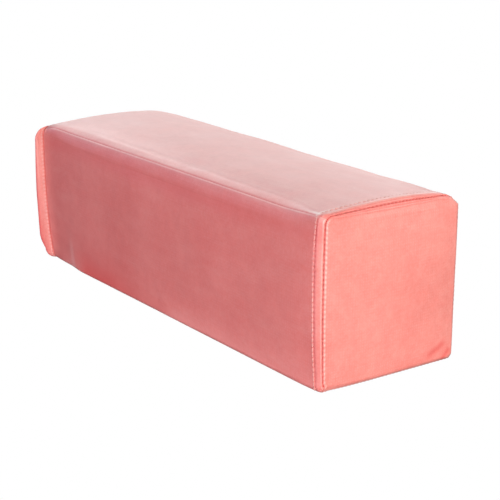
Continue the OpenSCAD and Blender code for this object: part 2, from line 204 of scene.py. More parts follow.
def hump(t):
    """Smooth hump of height 1 at t = 0 that fades out over a few widths."""
    return np.exp(-t * t)


def mix(a, b, t):
    return a + (b - a) * t


def bezier(t, a, b, c, d):
    u = 1 - t
    return u ** 3 * a + 3 * u * u * t * b + 3 * u * t * t * c + t ** 3 * d


def spline(place, count):
    """The four grid lines round a place and their weights, for a curve through the lines."""
    first = np.clip(np.floor(place).astype(int), 0, count - 2)
    t = place - first
    weights = (
        -0.5 * t + t ** 2 - 0.5 * t ** 3, 1 - 2.5 * t ** 2 + 1.5 * t ** 3,
        0.5 * t + 2 * t ** 2 - 1.5 * t ** 3, -0.5 * t ** 2 + 0.5 * t ** 3,
    )
    return [(np.clip(first + k - 1, 0, count - 1), weights[k]) for k in range(4)]


class Ripples:
    """Soft unevenness: a fixed handful of waves with wavelengths between two values."""

    def __init__(self, seed, shortest, longest, count=14):
        draw = np.random.default_rng(seed)
        way = draw.normal(size=(count, 3))
        way /= np.linalg.norm(way, axis=1, keepdims=True)
        self.waves = way * (2 * math.pi / draw.uniform(shortest, longest, count))[:, None]
        self.shift = draw.uniform(0, 2 * math.pi, count)
        self.count = count

    def __call__(self, points):
        total = np.zeros(points.shape[:-1])
        for wave, shift in zip(self.waves, self.shift):
            total += np.sin(points @ wave + shift)
        return total / math.sqrt(self.count)


class Form:
    """Outer form of the stuffed cover. Round the section, v runs from 0 to 8: 0 base, 1 front base
    edge, 2 front, 3 front top edge, 4 top, 5 back top edge, 6 back, 7 back base edge. Corners
    of an end's face lie at 1.5, 3.5, 5.5 and 7.5."""

    FIRST = 1.5

    def __init__(self, sizes):
        s = self.s = sizes
        self.front = -HALF_W + s.front_crown
        self.back = HALF_W
        self.top = HEIGHT - s.top_crown
        self.right_x = PART_HIGH.x - s.right_crown
        self.left_x = PART_LOW.x + s.left_crown
        self.left_seam = PART_LOW.x + s.left_seam_in
        self.sag = Sag()
        self.wide = Ripples(3, 60 * MM, 160 * MM)
        self.soft = Ripples(8, 18 * MM, 50 * MM)
        v = np.linspace(0, 16, 3201)
        rows = self.section(v, self.front, self.back, 0, self.top, s.base_r, s.top_r, 1)
        step = np.linalg.norm(np.diff(rows, axis=0), axis=1)
        self.table_v = v
        self.table_s = np.concatenate([[0], np.cumsum(step)])
        self.round = float(np.interp(8, v, self.table_s))
        self.front_top = 3 + s.top_seam / (math.pi / 2)
        self.back_top = 6 - s.top_seam / (math.pi / 2)
        base_w = self.back - self.front - 2 * s.base_r
        self.base_seam = (self.back - s.base_r - (-HALF_W + s.base_seam_in)) / base_w

    def reach(self, v):
        """Distance round the section to v."""
        return np.interp(v, self.table_v, self.table_s)

    def v_at(self, reach):
        return np.interp(reach, self.table_s, self.table_v)

    def section(self, v, front, back, base, top, base_r, top_r, crown, slope=0.0):
        """Points (0, y, z) at v of a section between the given planes; slope is how far its top
        back edge has slumped flat."""
        s = self.s
        v, front, back, base, top, base_r, top_r, crown, slope = np.broadcast_arrays(
            v, front, back, base, top, base_r, top_r, crown, slope)
        stretch = np.floor(v).astype(int) % 8
        t = v - np.floor(v)
        sin = np.sin(t * math.pi / 2)
        cos = np.cos(t * math.pi / 2)
        bow = 4 * t * (1 - t) * crown
        drop = top_r * np.where(stretch > 4, 1 - SLUMP * slope, 1)
        rise = top - base - base_r - drop
        y = np.choose(stretch, [
            back - base_r - t * (back - front - 2 * base_r), front + base_r - base_r * sin,
            front - s.front_crown * bow, front + top_r - top_r * cos,
            front + top_r + t * (back - front - 2 * top_r), back - top_r + top_r * mix(sin, t, slope),
            back, back - base_r + base_r * cos,
        ])
        z = np.choose(stretch, [
            base, base + base_r - base_r * cos, base + base_r + t * rise, top - top_r + top_r * sin,
            top + s.top_crown * bow, top - drop + drop * mix(cos, 1 - t, slope), top - drop - t * rise,
            base + base_r - base_r * sin,
        ])
        return np.stack([0 * y, y, z], axis=-1)

    def level(self, v):
        """0 along the base, 1 along the top, and the share of the height between."""
        v = v % 8
        return np.interp(v, [0, 2, 3, 6, 7, 8], [0, 0, 1, 1, 0, 0])

    def frontness(self, v):
        """1 on the front, 0 on the back."""
        v = v % 8
        return np.interp(v, [0, 1, 4, 5, 8], [0, 1, 1, 0, 0])

    def side(self, v):
        """Radius of the right end's edge at v."""
        s = self.s
        edges = [s.foot_r, s.side_r, s.crest_r, s.back_side_r]
        return np.interp(v % 8, np.arange(9), np.append(np.repeat(edges, 2), s.foot_r))

    def wrap(self, v):
        """Angle of the right end's rounding that the long panels cover at v."""
        seen = np.interp(v % 8, [0.9, 1.5, 4.9, 5.5], [0, 1, 1, 0])
        return mix(self.s.wrap_hidden, self.s.wrap, seen)

    def seam_x(self, v):
        """Where the left seam lies at v."""
        return self.left_seam - self.s.lean * self.level(v) ** 3

    def planes(self, x, v):
        """Front, back and top planes of the settled cover at x and v."""
        s = self.s
        low = 1 - self.level(v)
        behind = 1 - self.frontness(v)
        near = np.exp(-np.maximum(x - self.seam_x(v), 0) / s.pull_l)
        skirt = ease((self.left_seam + s.skirt_l - x) / (0.45 * s.skirt_l)) * low ** 4
        right = ease((x - self.right_x + s.taut_l) / s.taut_l)
        front = self.front + near * s.pull_in * (0.2 + 0.8 * low) + s.skirt_pull * skirt
        back = self.back - near * s.pull_in - BACK_TUCK * right * low ** 2
        settled = s.back_drop * ease((x + 0.3 * HEIGHT) / HEIGHT) * (1 - 0.8 * right ** 2)
        top = self.top - near * s.top_pull * (1 - 0.6 * behind) - behind * settled
        return front, back, top

    def edge_radii(self, x, v):
        """Radii of the base edges and of the top edges at x and v."""
        s = self.s
        ahead = self.frontness(v)
        right = ease(1 - (self.right_x - x) / s.tighten_l)
        toe = ease(1 - (self.right_x - x) / (0.5 * s.tighten_l)) * ahead
        left = ease(1 - (x - self.left_seam) / s.tighten_l) * ahead
        end = mix(s.back_r_right, s.front_r_right, ahead)
        return mix(s.base_r, s.toe_r, toe), mix(mix(s.top_r, end, right), s.front_r_left, left)

    def long(self, p, v):
        """Long panels. p runs from 0 at the left seam to 1 where the right end's rounding starts,
        and on to 2 at the right seam."""
        p, v = np.broadcast_arrays(p, v)
        turn = np.clip(p - 1, 0, 1) * self.wrap(v)
        radius = self.side(v)
        x = mix(self.seam_x(v), self.right_x - radius, np.minimum(p, 1)) + radius * np.sin(turn)
        return self.around(x, v, turn) + self.sag.round("long", p, v)

    def around(self, x, v, turn):
        """Points at x and v, where the right end's rounding has turned by turn."""
        s = self.s
        turned = 1 - np.cos(turn)
        front, back, top = self.planes(x, v)
        base_r, top_r = self.edge_radii(x, v)
        slope = s.back_slope * ease(1 - (self.right_x - x) / s.tighten_l) ** 2
        toe = s.toe_lift * self.frontness(v) ** 6 * np.exp((x - self.right_x) / TOE_L)
        points = self.section(
            v, front + s.side_r * turned, back - s.back_side_r * turned, s.foot_r * turned + toe,
            top - s.crest_r * turned, base_r, top_r, np.cos(turn), slope)
        points[..., 0] = x
        return points

    def left(self, t, v):
        """Left end panel from its seam at t = 0 to the rim of its face at t = 1."""
        s = self.s
        t, v = np.broadcast_arrays(t, v)
        level = self.level(v)
        start = self.seam_x(v)
        front, back, top = self.planes(start, v)
        puff = -s.swell * ease(0.5 + level / 0.3) * (1 - 0.1 * level ** 4)
        front = self.front + bezier(t, front - self.front, puff, puff, LEFT_IN_FRONT)
        back = self.back - bezier(t, self.back - back, 0, 0, LEFT_IN_BACK)
        top = self.top - bezier(t, self.top - top, 6.5 * MM, 8 * MM, LEFT_IN_TOP)
        base = bezier(t, 0, 0, 3 * MM, LEFT_IN_BASE)
        base_r, top_r = self.edge_radii(start, v)
        points = self.section(
            v, front, back, base, top, mix(base_r, LEFT_BASE_R, t), mix(top_r, LEFT_TOP_R, t), 1 - t)
        points[..., 0] = mix(start, self.left_x, bezier(t, 0, 0.36, 1.05, 1))
        return points + self.sag.round("left", t, v)

    def right(self, t, v):
        """Right end panel from its seam at t = 0 to the rim of its face at t = 1."""
        t, v = np.broadcast_arrays(t, v)
        turn = mix(self.wrap(v), math.radians(84), t)
        x = self.right_x - self.side(v) * (1 - np.sin(turn))
        return self.around(x, v, turn) + self.sag.round("right", t, v)

    def face(self, rim, grid, crown, u, w):
        """Face of an end, spanned between the four sides of its rim: u front to back, w up."""
        first = self.FIRST
        lows = rim(1.0, self.side_v(3, 1 - u))
        highs = rim(1.0, self.side_v(1, u))
        fronts = rim(1.0, self.side_v(0, w))
        backs = rim(1.0, self.side_v(2, 1 - w))
        a, b = rim(1.0, np.array([first, first + 4])), rim(1.0, np.array([first + 2, first + 6]))
        corner, top_back, top_front, low_back = a[0], a[1], b[0], b[1]
        u, w = u[:, None, None], w[None, :, None]
        points = (1 - u) * fronts[None] + u * backs[None] + (1 - w) * lows[:, None] + w * highs[:, None]
        points -= (
            (1 - u) * (1 - w) * corner + u * w * top_back
            + (1 - u) * w * top_front + u * (1 - w) * low_back)
        points[..., 0] += crown * (16 * u * (1 - u) * w * (1 - w))[..., 0]
        return points + self.sag.look(grid, u[..., 0], w[..., 0])

    def side_v(self, side, t):
        """v at the share t along a side of an end's face, by distance round the section."""
        a = self.reach(self.FIRST + 2 * side)
        b = self.reach(self.FIRST + 2 * side + 2)
        return self.v_at(a + (b - a) * t)


class Sag:
    """How far the stuffed cover has settled away from its plain form, on coarse grids."""

    def __init__(self):
        self.grids = {}

    def look(self, name, a, b):
        """Settling at the places a, b of a grid, along smooth curves through its points."""
        if name not in self.grids:
            return 0.0
        at, bt, moved = self.grids[name]
        a, b = np.broadcast_arrays(a, b)
        rows = spline(np.interp(a, at, np.arange(len(at))), len(at))
        columns = spline(np.interp(b, bt, np.arange(len(bt))), len(bt))
        return sum((wa * wb)[..., None] * moved[i, j] for i, wa in rows for j, wb in columns)

    def round(self, name, along, v):
        """Settling of a grid that goes round the section."""
        return self.look(name, along, np.where(v < Form.FIRST, v + 8, v))


# ---------- Meshes ----------

WELD = 0.01 * MM  # points that lie this close are one


def smooth_mesh(name, points, faces):
    mesh = bpy.data.meshes.new(name)
    mesh.from_pydata([tuple(p) for p in points], [], faces)
    mesh.update()
    mesh.polygons.foreach_set("use_smooth", np.ones(len(mesh.polygons), bool))
    return mesh


class Cloth:
    """Patches of points in rows and columns, sewn into one mesh wherever they touch."""

    def __init__(self, name):
        self.name = name
        self.patches = []

    def add(self, points, flip=False, **facts):
        """points is rows x columns x 3; each fact is a number for each point."""
        shape = points.shape[:2]
        self.patches.append((points, flip, {k: np.broadcast_to(f, shape) for k, f in facts.items()}))

    def weld(self):
        """Points, faces and facts, with the points that touch made one."""
        points = np.concatenate([p.reshape(-1, 3) for p, _, _ in self.patches])
        faces = []
        start = 0
        for patch, flip, _ in self.patches:
            rows, columns = patch.shape[:2]
            grid = start + np.arange(rows * columns).reshape(rows, columns)
            corners = [grid[:-1, :-1], grid[1:, :-1], grid[1:, 1:], grid[:-1, 1:]]
            quads = np.stack(corners, axis=-1).reshape(-1, 4)
            faces.append(quads[:, ::-1] if flip else quads)
            start += rows * columns
        keys = np.round(points / WELD).astype(np.int64)
        _, first, places = np.unique(keys, axis=0, return_index=True, return_inverse=True)
        faces = places.reshape(-1)[np.concatenate(faces)]
        facts = {}
        for name in self.patches[0][2]:
            facts[name] = np.concatenate([f[name].reshape(-1) for _, _, f in self.patches])[first]
        self.places = places.reshape(-1)
        return points[first], faces, facts

    def mesh(self, points, faces):
        """Mesh of the welded cloth, without the sides that closed up."""
        loops = []
        for face in faces.tolist():
            corners = list(dict.fromkeys(face))
            if len(corners) > 2:
                loops.append(corners)
        return smooth_mesh(self.name, points.tolist(), loops)


def put(data):
    """Object for a mesh, a light or a camera, linked into the scene."""
    piece = bpy.data.objects.new(data.name, data)
    bpy.context.scene.collection.objects.link(piece)
    return piece


def point_normals(mesh):
    normals = np.zeros(len(mesh.vertices) * 3)
    mesh.vertices.foreach_get("normal", normals)
    return normals.reshape(-1, 3)


def distances(points, axis):
    """Distance of each point of a patch from its first row (axis 0) or column (axis 1)."""
    step = np.linalg.norm(np.diff(points, axis=axis), axis=2)
    pad = [(0, 0), (0, 0)]
    pad[axis] = (1, 0)
    return np.pad(np.cumsum(step, axis=axis), pad)


FINE = np.array([0, 0.12, 0.3, 0.55, 0.9, 1.3, 1.9, 2.7, 3.7]) * MM


def stations(total, step, fine_first=True, fine_last=True):
    """Places from 0 to total, step apart, and closer beside a seam."""
    first = FINE if fine_first else np.array([0.0])
    last = total - (FINE[::-1] if fine_last else np.array([0.0]))
    count = max(round((last[0] - first[-1]) / step), 1)
    return np.concatenate([first[:-1], np.linspace(first[-1], last[0], count + 1), last[1:]])


def groove(distance, width=0.5 * MM):
    """Share of a seam's depth at a distance from the seam."""
    return np.exp(-(distance / width) ** 1.3)


def lip(distance, place=1.4 * MM, width=0.9 * MM):
    """Share of a sewn edge's rise at a distance from its seam."""
    return hump((distance - place) / width)


def beat(along, pitch, share):
    """Runs of share of the pitch where it is 1, and 0 between, softly, once for each stitch."""
    t = np.abs((along / pitch) % 1 - 0.5) * 2
    return ease((share - t) / 0.3 + 0.5)


PULL_W = 2 * MM  # width beside a left seam in which the cloth is drawn straight out
QUIET_W, FLOOR_QUIET = 6 * MM, 4 * MM  # the stuffing shows no unevenness this close to a seam or the floor
CREASE_W, HOLE_W = 0.7 * MM, 0.6 * MM  # widths of a topstitch's crease and of its needle holes
TOP_EDGE_REFLECTION, TOP_EDGE_REFLECTION_L = 0.34, 7 * MM  # paleness of the painted reflection on the front's top edge, and how far down it fades
UNDER_REFLECTION_SHADE, UNDER_REFLECTION_SHADE_Z, UNDER_REFLECTION_SHADE_W = 0.25, 15 * MM, 8 * MM  # the painted shade band under that reflection
BUNCH_RISE, BUNCH_HIGHLIGHT = 0.3 * MM, 0.9  # height of the bunched cloth at the right corner, and the paleness of its painted highlight
FALLOFF_SHADE_FROM, FALLOFF_SHADE_L = 3 * MM, 12 * MM  # where an end's painted shade starts to deepen away from its seam, and how fast
CLOSE_L, CLOSE_ROWS = 8 * MM, 14  # rows lie closer over this length before the right rounding
ZIP_TAPER = 6 * MM  # length over which the hems run together at the ends of the zip's opening
ZIP_SUNK = 0.7 * MM  # how far the hems lie in, so that the pull clears them
ZIP_SUNK_W, ZIP_SUNK_HALF_L = 13 * MM, 220 * MM  # width and half length of that stretch
FOLD_HIGHLIGHT_X, FOLD_HIGHLIGHT_H = 53 * MM, 50 * MM  # painted highlight along a soft fold's ridge near the front's left foot, and its height
LOW_SHEEN_X, LOW_SHEEN_H = 42 * MM, 20 * MM  # the wide, low painted sheen beside it
FOOT_SHADE_X, FOOT_SHADE_END, FOOT_SHADE_H = 62 * MM, 230 * MM, 26 * MM  # stretch of the front's foot with painted shade, deepest near the floor


class Cover:
    """Meshes of the six cover panels, from the form and the sizes of the seams."""

    def __init__(self, scene):
        self.form = Form(scene.beam_cover)
        self.seams = scene.beam_seams
        self.stitches = round(self.form.round / self.seams.pitch)
        self.pitch = self.form.round / self.stitches

    def run_stations(self):
        """Rows of a long panel: p from 0 to 2, fine at both end seams."""
        form = self.form
        flat = form.right_x - form.s.side_r - form.left_seam
        body = stations(flat - CLOSE_L, self.pitch / 2, True, False)
        close = np.linspace(flat - CLOSE_L, flat, CLOSE_ROWS + 1)[1:]
        arc = form.s.side_r * form.s.wrap
        bend = stations(arc, 0.55 * MM, False, True)[1:] / arc
        return np.concatenate([body / flat, close / flat, 1 + bend])

    def zip_edge(self, points_x, up):
        """Distance round the section to the edge of the zip's hem at each x."""
        form = self.form
        open_share = ease((form.s.zip_open / 2 - np.abs(points_x)) / ZIP_TAPER)
        half = form.s.zip_gap / 2 * open_share
        z = ZIP_Z + np.where(up, half, -half)
        return form.reach(7) - (z - form.s.base_r)

    def long_panel(self, name, start, end, zip_first=False, zip_last=False):
        """Long panel from start to end round the section; a zip edge follows the opening."""
        form = self.form
        p = self.run_stations()
        x = mix(form.left_seam, form.right_x - form.s.side_r, np.minimum(p, 1))
        first = self.zip_edge(x, False) if zip_first else np.full(len(p), form.reach(start))
        last = self.zip_edge(x, True) if zip_last else np.full(len(p), form.reach(end))
        nominal = form.reach(end) - form.reach(start)
        across = stations(nominal, self.pitch / 6) / nominal
        reach = first[:, None] + (last - first)[:, None] * across[None]
        v = form.v_at(reach)
        points = form.long(p[:, None], v)
        run = distances(points, 0)
        wide = distances(points, 1)
        cloth = Cloth(name)
        cloth.add(
            points, left=run, right=run[-1:] - run, first=wide, last=wide[:, -1:] - wide,
            reach=reach, v=v % 8, opening=(np.abs(x) < form.s.zip_open / 2)[:, None],
        )
        return cloth

    def finish(self, cloth, shape):
        """Mesh of the cloth with its sewn detail: shape gives each point's rise, its share of
        the sideways pull at a seam, and its tone, which paints light and shade into the colour:
        above 0 a painted highlight, below 0 painted shade."""
        points, faces, facts = cloth.weld()
        mesh = cloth.mesh(points, faces)
        normals = point_normals(mesh)
        rise, upright, tone = shape(points, facts)
        plain = normals.copy()
        plain[:, 0] = 0
        plain /= np.maximum(np.linalg.norm(plain, axis=1, keepdims=True), 1e-9)
        way = mix(normals, plain, upright[:, None])
        points = points + way * rise[:, None]
        points[:, 2] = np.maximum(points[:, 2], 0)
        mesh.vertices.foreach_set("co", points.astype(np.float32).reshape(-1))
        mesh.update()
        # the tone attribute holds the painted highlights and the painted shade
        mesh.attributes.new("tone", "FLOAT", "POINT").data.foreach_set("value", tone.astype(np.float32))
        return put(mesh)

    def texture_rise(self, points):
        """Unevenness of the stuffed vinyl away from the seams."""
        return SOFT_RISE * self.form.soft(points) + WIDE_RISE * self.form.wide(points)

    def long_detail(
            self, first_lip, last_lip, zip_first=False, zip_last=False, painted_front_light=0.0, corner=0.0, first_edge_shade=0.0):
        """Sewn detail of a long panel. rubbed sets the front's painted light and shade: a painted
        reflection along its top edge with a painted shade band under it, an overall painted shade,
        painted highlights near its left foot and painted shade along its foot; corner is how far the
        cover bunches up at the right end of its first edge, with a painted highlight on the bunch;
        bare is how strong the painted shade along that edge is."""
        seams = self.seams
        pitch = self.pitch

        def shape(points, f):
            holes = beat(f["reach"], pitch, 0.42)
            knots = beat(f["reach"] + 0.5 * pitch, pitch, 0.5)
            row = f["right"] - seams.topstitch_in
            right = groove(f["right"], 0.5 * MM) * (0.3 + 0.7 * knots)
            left = groove(f["left"])
            past = ease((np.abs(points[:, 0]) - self.form.s.zip_open / 2 - 8 * MM) / (14 * MM))
            along = np.maximum(
                groove(f["first"]) * (1 - zip_first * 0.8 * past),
                groove(f["last"]) * (1 - zip_last * 0.8 * past))
            deep = np.maximum(seams.depth * np.maximum(left, right), seams.long_depth * along)
            over = ease((f["v"] - 3.2) / 0.4) * ease((5.8 - f["v"]) / 0.4)
            # painted shade in the seam grooves, and an overall painted shade on the front where rubbed is
            # set
            tone = -np.maximum.reduce([right * (1 - 0.4 * over), 0.6 * left, 0.04 * along]) - 0.12 * painted_front_light
            rise = seams.lip * (
                0.8 * lip(f["right"]) + first_lip * lip(f["first"]) + last_lip * lip(f["last"]))
            # painted highlight on the lip beside the right seam; on the top, painted shade beside that seam
            # and a painted highlight past it
            tone += 0.32 * (1 - over) * lip(f["right"], 1.6 * MM, 0.7 * MM)
            tone -= 0.3 * over * hump((f["right"] - 1.5 * MM) / (1.3 * MM))
            tone += 0.25 * over * hump((f["right"] - 4.7 * MM) / (1.5 * MM))
            # painted reflection along the front's top edge, and a painted shade band under it
            reflection = TOP_EDGE_REFLECTION * np.exp(-f["last"] / TOP_EDGE_REFLECTION_L)
            tone += painted_front_light * (reflection - UNDER_REFLECTION_SHADE * hump((f["last"] - UNDER_REFLECTION_SHADE_Z) / UNDER_REFLECTION_SHADE_W))
            # painted shade along the top's front edge, where it rounds over towards the front
            tone -= 0.15 * first_edge_shade * np.exp(-f["first"] / (5 * MM))
            beyond = f["right"] - seams.topstitch_in - 2.5 * MM
            bunched_along = hump(np.maximum(beyond, 0) / (14 * MM)) * ease(beyond / (3 * MM) + 1)
            bunched = corner * np.maximum(
                lip(f["first"], 2.2 * MM, 1.8 * MM) * bunched_along,
                hump((beyond - 1.5 * MM) / (1.6 * MM)) * np.exp(-f["first"] / (16 * MM)))
            rise += BUNCH_RISE * bunched
            # painted highlight on the bunched cloth
            tone += BUNCH_HIGHLIGHT * bunched
            sewn = row - seams.thread_out
            rise += 0.6 * seams.fold_t * ease(1 - row / (1.2 * MM))
            rise -= seams.channel * (hump(row / CREASE_W) + hump(sewn / CREASE_W)) * (1 - 0.7 * over)
            rise -= seams.dimple * hump(sewn / HOLE_W) * holes * (1 - 0.9 * over)
            # painted shade in the topstitch's crease and in its needle holes
            tone -= hump(row / (0.55 * MM)) * (0.36 + 0.3 * holes) * (1 - 0.6 * over)
            tone -= 0.45 * hump(sewn / HOLE_W) * holes * (1 - 0.9 * over)
            puckers = lip(row, seams.thread_out + 0.9 * MM, 0.9 * MM)
            rise += 0.2 * MM * puckers * (1 - holes)
            # painted highlight on the puckers
            tone += 0.3 * puckers * (1 - 0.7 * holes) * (1 - 0.5 * over)
            for name, on in (("first", zip_first), ("last", zip_last)):
                if on:
                    hem = f[name] - seams.hem_in
                    pierced = beat(points[:, 0], pitch, 0.42)
                    here = f["opening"]
                    rise += here * seams.fold_t * ease(1 - hem / (1.0 * MM))
                    rise -= here * (seams.channel + seams.dimple * pierced) * hump(hem / HOLE_W)
                    # painted shade in the hem's crease and in its needle holes
                    tone -= here * hump(hem / CREASE_W) * (0.25 + 0.75 * pierced)
                    sunk = ease((ZIP_SUNK_W - f[name]) / (6 * MM))
                    sunk = sunk * ease((ZIP_SUNK_HALF_L - np.abs(points[:, 0])) / (12 * MM))
                    rise -= ZIP_SUNK * sunk
            nearest = np.minimum.reduce([f["left"], f["right"], f["first"], f["last"]])
            quiet = ease(nearest / QUIET_W)
            quiet = quiet * ease(points[:, 2] / FLOOR_QUIET)
            rise += quiet * self.texture_rise(points)
            x, z = points[:, 0] - self.form.left_seam, points[:, 2]
            # painted highlight along a soft fold's ridge near the front's left foot, and a wide painted
            # sheen low beside it
            painted_highlight = hump((x - FOLD_HIGHLIGHT_X) / (5.5 * MM)) * ease((FOLD_HIGHLIGHT_H - z) / (30 * MM))
            painted_highlight += 0.7 * hump((x - LOW_SHEEN_X) / (14 * MM)) * ease((LOW_SHEEN_H - z) / (16 * MM))
            # painted shade along the front's foot, deepest near the floor
            foot_shade = ease((x - FOOT_SHADE_X) / (24 * MM)) * ease((FOOT_SHADE_END - x) / (120 * MM)) * hump(z / FOOT_SHADE_H)
            tone += painted_front_light * (0.3 * painted_highlight - 0.65 * foot_shade)
            return rise - deep, hump(f["left"] / PULL_W), tone
        return shape

    def end_panel(self, name, rim, grid, crown, flip):
        """End panel: rows from its seam to the rim of its face, then the face."""
        form = self.form
        count = round(form.round / 4 / (self.pitch / 6))
        share = np.linspace(0, 1, count + 1)
        v = np.concatenate([form.side_v(side, share[:-1]) for side in range(4)] + [[form.FIRST + 8]])
        probe = rim(np.linspace(0, 1, 60)[:, None], np.array([[6.5]]))
        travel = distances(probe, 0)[:, 0]
        t = np.interp(stations(travel[-1], 0.9 * MM, True, False), travel, np.linspace(0, 1, 60))
        points = rim(t[:, None], v[None, :])
        cloth = Cloth(name)
        run = distances(points, 0)
        cloth.add(points, flip, seam=run, reach=form.reach(v)[None], v=(v % 8)[None])
        face = form.face(rim, grid, crown, share, share)
        seam, nearest = self.from_seam(face, run[-1], count)
        cloth.add(face, flip, seam=seam, reach=form.reach(v)[nearest], v=v[nearest] % 8)
        return cloth

    def from_seam(self, face, rim_run, count):
        """Distance of an end's face from its seam, and the column of the rim that lies nearest."""
        up, across = distances(face, 1), distances(face, 0)
        i, j = np.indices(face.shape[:2])
        columns = np.stack([j, count + i, 3 * count - j, 4 * count - i])
        away = np.stack([across, up[:, -1:] - up, across[-1:] - across, up]) + rim_run[columns]
        side = np.argmin(away, axis=0)[None]
        return np.take_along_axis(away, side, 0)[0], np.take_along_axis(columns, side, 0)[0]

    def end_detail(self, upright, stitched, folds=(), falloff_shade=0.0):
        """Sewn detail of an end panel; stitched is how strongly its seam's stitches show, handled
        how strong the painted shade is away from the seam. Each fold gives the ends of a soft crease
        (y, z), its width and its depth; the crease gets painted shade along it."""
        seams = self.seams
        pitch = self.pitch

        def shape(points, f):
            near = f["seam"]
            knots = beat(f["reach"] + 0.5 * pitch, pitch, 0.5)
            over = stitched * ease((f["v"] - 3.3) / 0.5) * ease((5.7 - f["v"]) / 0.5)
            deep = groove(near, 0.55 * MM) * (1 - stitched * 0.6 * (1 - knots))
            place = (1.7 + 2.2 * over) * MM
            bead = lip(near, place, 0.8 * MM) * (1 - 0.7 * stitched * knots * (1 - over))
            rise = seams.lip * (0.7 * bead + 0.3 * lip(near)) - seams.depth * deep
            # painted shade in the seam's groove and in a band under the top seam, and a painted highlight
            # on the bead beside the seam
            tone = -deep * (0.6 + 0.4 * stitched) * (1 - 0.4 * over)
            tone -= 0.32 * over * ease((5.5 * MM - near) / (2.5 * MM))
            tone += (0.2 + 0.28 * stitched) * bead * (1 - over)
            # painted shade that deepens away from the seam
            tone -= falloff_shade * ease((near - FALLOFF_SHADE_FROM) / FALLOFF_SHADE_L)
            for start, end, width, depth in folds:
                start, end = np.array(start), np.array(end)
                size = np.linalg.norm(end - start)
                way = (end - start) / size
                along = (points[:, 1:] - start) @ way / size
                across = (points[:, 1:] - start) @ np.array([-way[1], way[0]])
                here = ease(along / 0.35 + 0.5) * ease((1 - along) / 0.35 + 0.5)
                beside = hump((across - 1.8 * width) / (1.4 * width))
                rise += depth * here * (0.7 * beside - hump(across / width))
                # painted shade along the crease
                tone -= 0.6 * here * hump(across / (1.2 * width))
            quiet = ease(near / QUIET_W) * ease(points[:, 2] / FLOOR_QUIET)
            rise += quiet * self.texture_rise(points)
            return rise, upright * hump(near / PULL_W), tone
        return shape


# ---------- Stuffing ----------

STUFF_STEPS, STUFF_FRAMES = 30, 20  # steps to a side of the cloth, and frames that it blows for
STUFF_CAP = 2 * MM  # how far a place may move
STUFF_SMOOTHINGS, STUFF_SMOOTH = 6, 0.7


def coarse_cover(form, count):
    """Whole cover on coarse grids, count steps to a side of the section: the cloth, the grids and
    which points a seam or the floor holds."""
    share = np.linspace(0, 1, count + 1)
    v = np.concatenate([form.side_v(side, share[:-1]) for side in range(4)] + [[form.FIRST + 8]])
    p = np.concatenate([np.linspace(0, 1, 3 * count), [1.33, 1.67, 2]])
    t = np.linspace(0, 1, 6)
    grids = {
        "long": (p, v, form.long(p[:, None], v[None])),
        "left": (t, v, form.left(t[:, None], v[None])),
        "right": (t[::5], v, form.right(t[::5][:, None], v[None])),
        "left_face": (share, share, form.face(form.left, "left_face", -form.s.left_crown, share, share)),
        "right_face": (share, share, form.face(form.right, "right_face", form.s.right_crown, share, share)),
    }
    cloth = Cloth("stuffed_cover")
    for name, (_, _, points) in grids.items():
        held = np.zeros(points.shape[:2])
        if not name.endswith("face"):
            held[0] = 1
            held[points[..., 2] < 1 * MM] = 1
        if name == "long":
            held[-1] = 1
            for seam in (form.front_top, form.back_top, form.base_seam + 8):
                held[:, np.argmin(np.abs(v - seam))] = 1
        cloth.add(points, name.startswith("left"), held=held)
    return cloth, grids


def stuff(form):
    """Blows the coarse cover up against its seams with a cloth simulation and keeps, on coarse
    grids, how far each place moved."""
    cloth, grids = coarse_cover(form, STUFF_STEPS)
    points, faces, _ = cloth.weld()
    held = np.zeros(len(points))
    flat_held = np.concatenate([h["held"].reshape(-1) for _, _, h in cloth.patches])
    np.maximum.at(held, cloth.places, flat_held)
    mesh = cloth.mesh(points, faces)
    piece = put(mesh)
    group = piece.vertex_groups.new(name="sewn")
    group.add(np.flatnonzero(held > 0.5).tolist(), 1.0, "REPLACE")
    blow = piece.modifiers.new("Stuffing", "CLOTH")
    settings = {
        "quality": 6, "mass": 0.3, "tension_stiffness": 20, "compression_stiffness": 20,
        "shear_stiffness": 8, "bending_stiffness": 2, "use_pressure": True,
        "uniform_pressure_force": 2.5, "vertex_group_mass": "sewn",
    }
    for name, value in settings.items():
        setattr(blow.settings, name, value)
    blow.settings.effector_weights.gravity = 0
    blow.collision_settings.use_collision = False
    scene = bpy.context.scene
    for number in range(1, STUFF_FRAMES + 1):
        scene.frame_set(number)
    settled = piece.evaluated_get(bpy.context.evaluated_depsgraph_get()).to_mesh()
    after = np.zeros(len(settled.vertices) * 3)
    settled.vertices.foreach_get("co", after)
    moved = after.reshape(-1, 3) - points
    scene.frame_set(1)
    bpy.data.objects.remove(piece)
    ends = np.array([e.vertices[:] for e in mesh.edges])
    links = np.bincount(ends.ravel(), minlength=len(points))[:, None]
    for _ in range(STUFF_SMOOTHINGS):
        around = np.zeros_like(moved)
        np.add.at(around, ends[:, 0], moved[ends[:, 1]])
        np.add.at(around, ends[:, 1], moved[ends[:, 0]])
        moved = np.where(held[:, None] > 0.5, 0, mix(moved, around / links, STUFF_SMOOTH))
    far = np.linalg.norm(moved, axis=1, keepdims=True)
    moved *= STUFF_CAP * np.tanh(far / STUFF_CAP) / np.maximum(far, 1e-9)
    start = 0
    for name, (a, b, patch) in grids.items():
        size = patch.shape[0] * patch.shape[1]
        places = cloth.places[start:start + size]
        form.sag.grids[name] = (a, b, moved[places].reshape(patch.shape))
        start += size


# ---------- Materials ----------

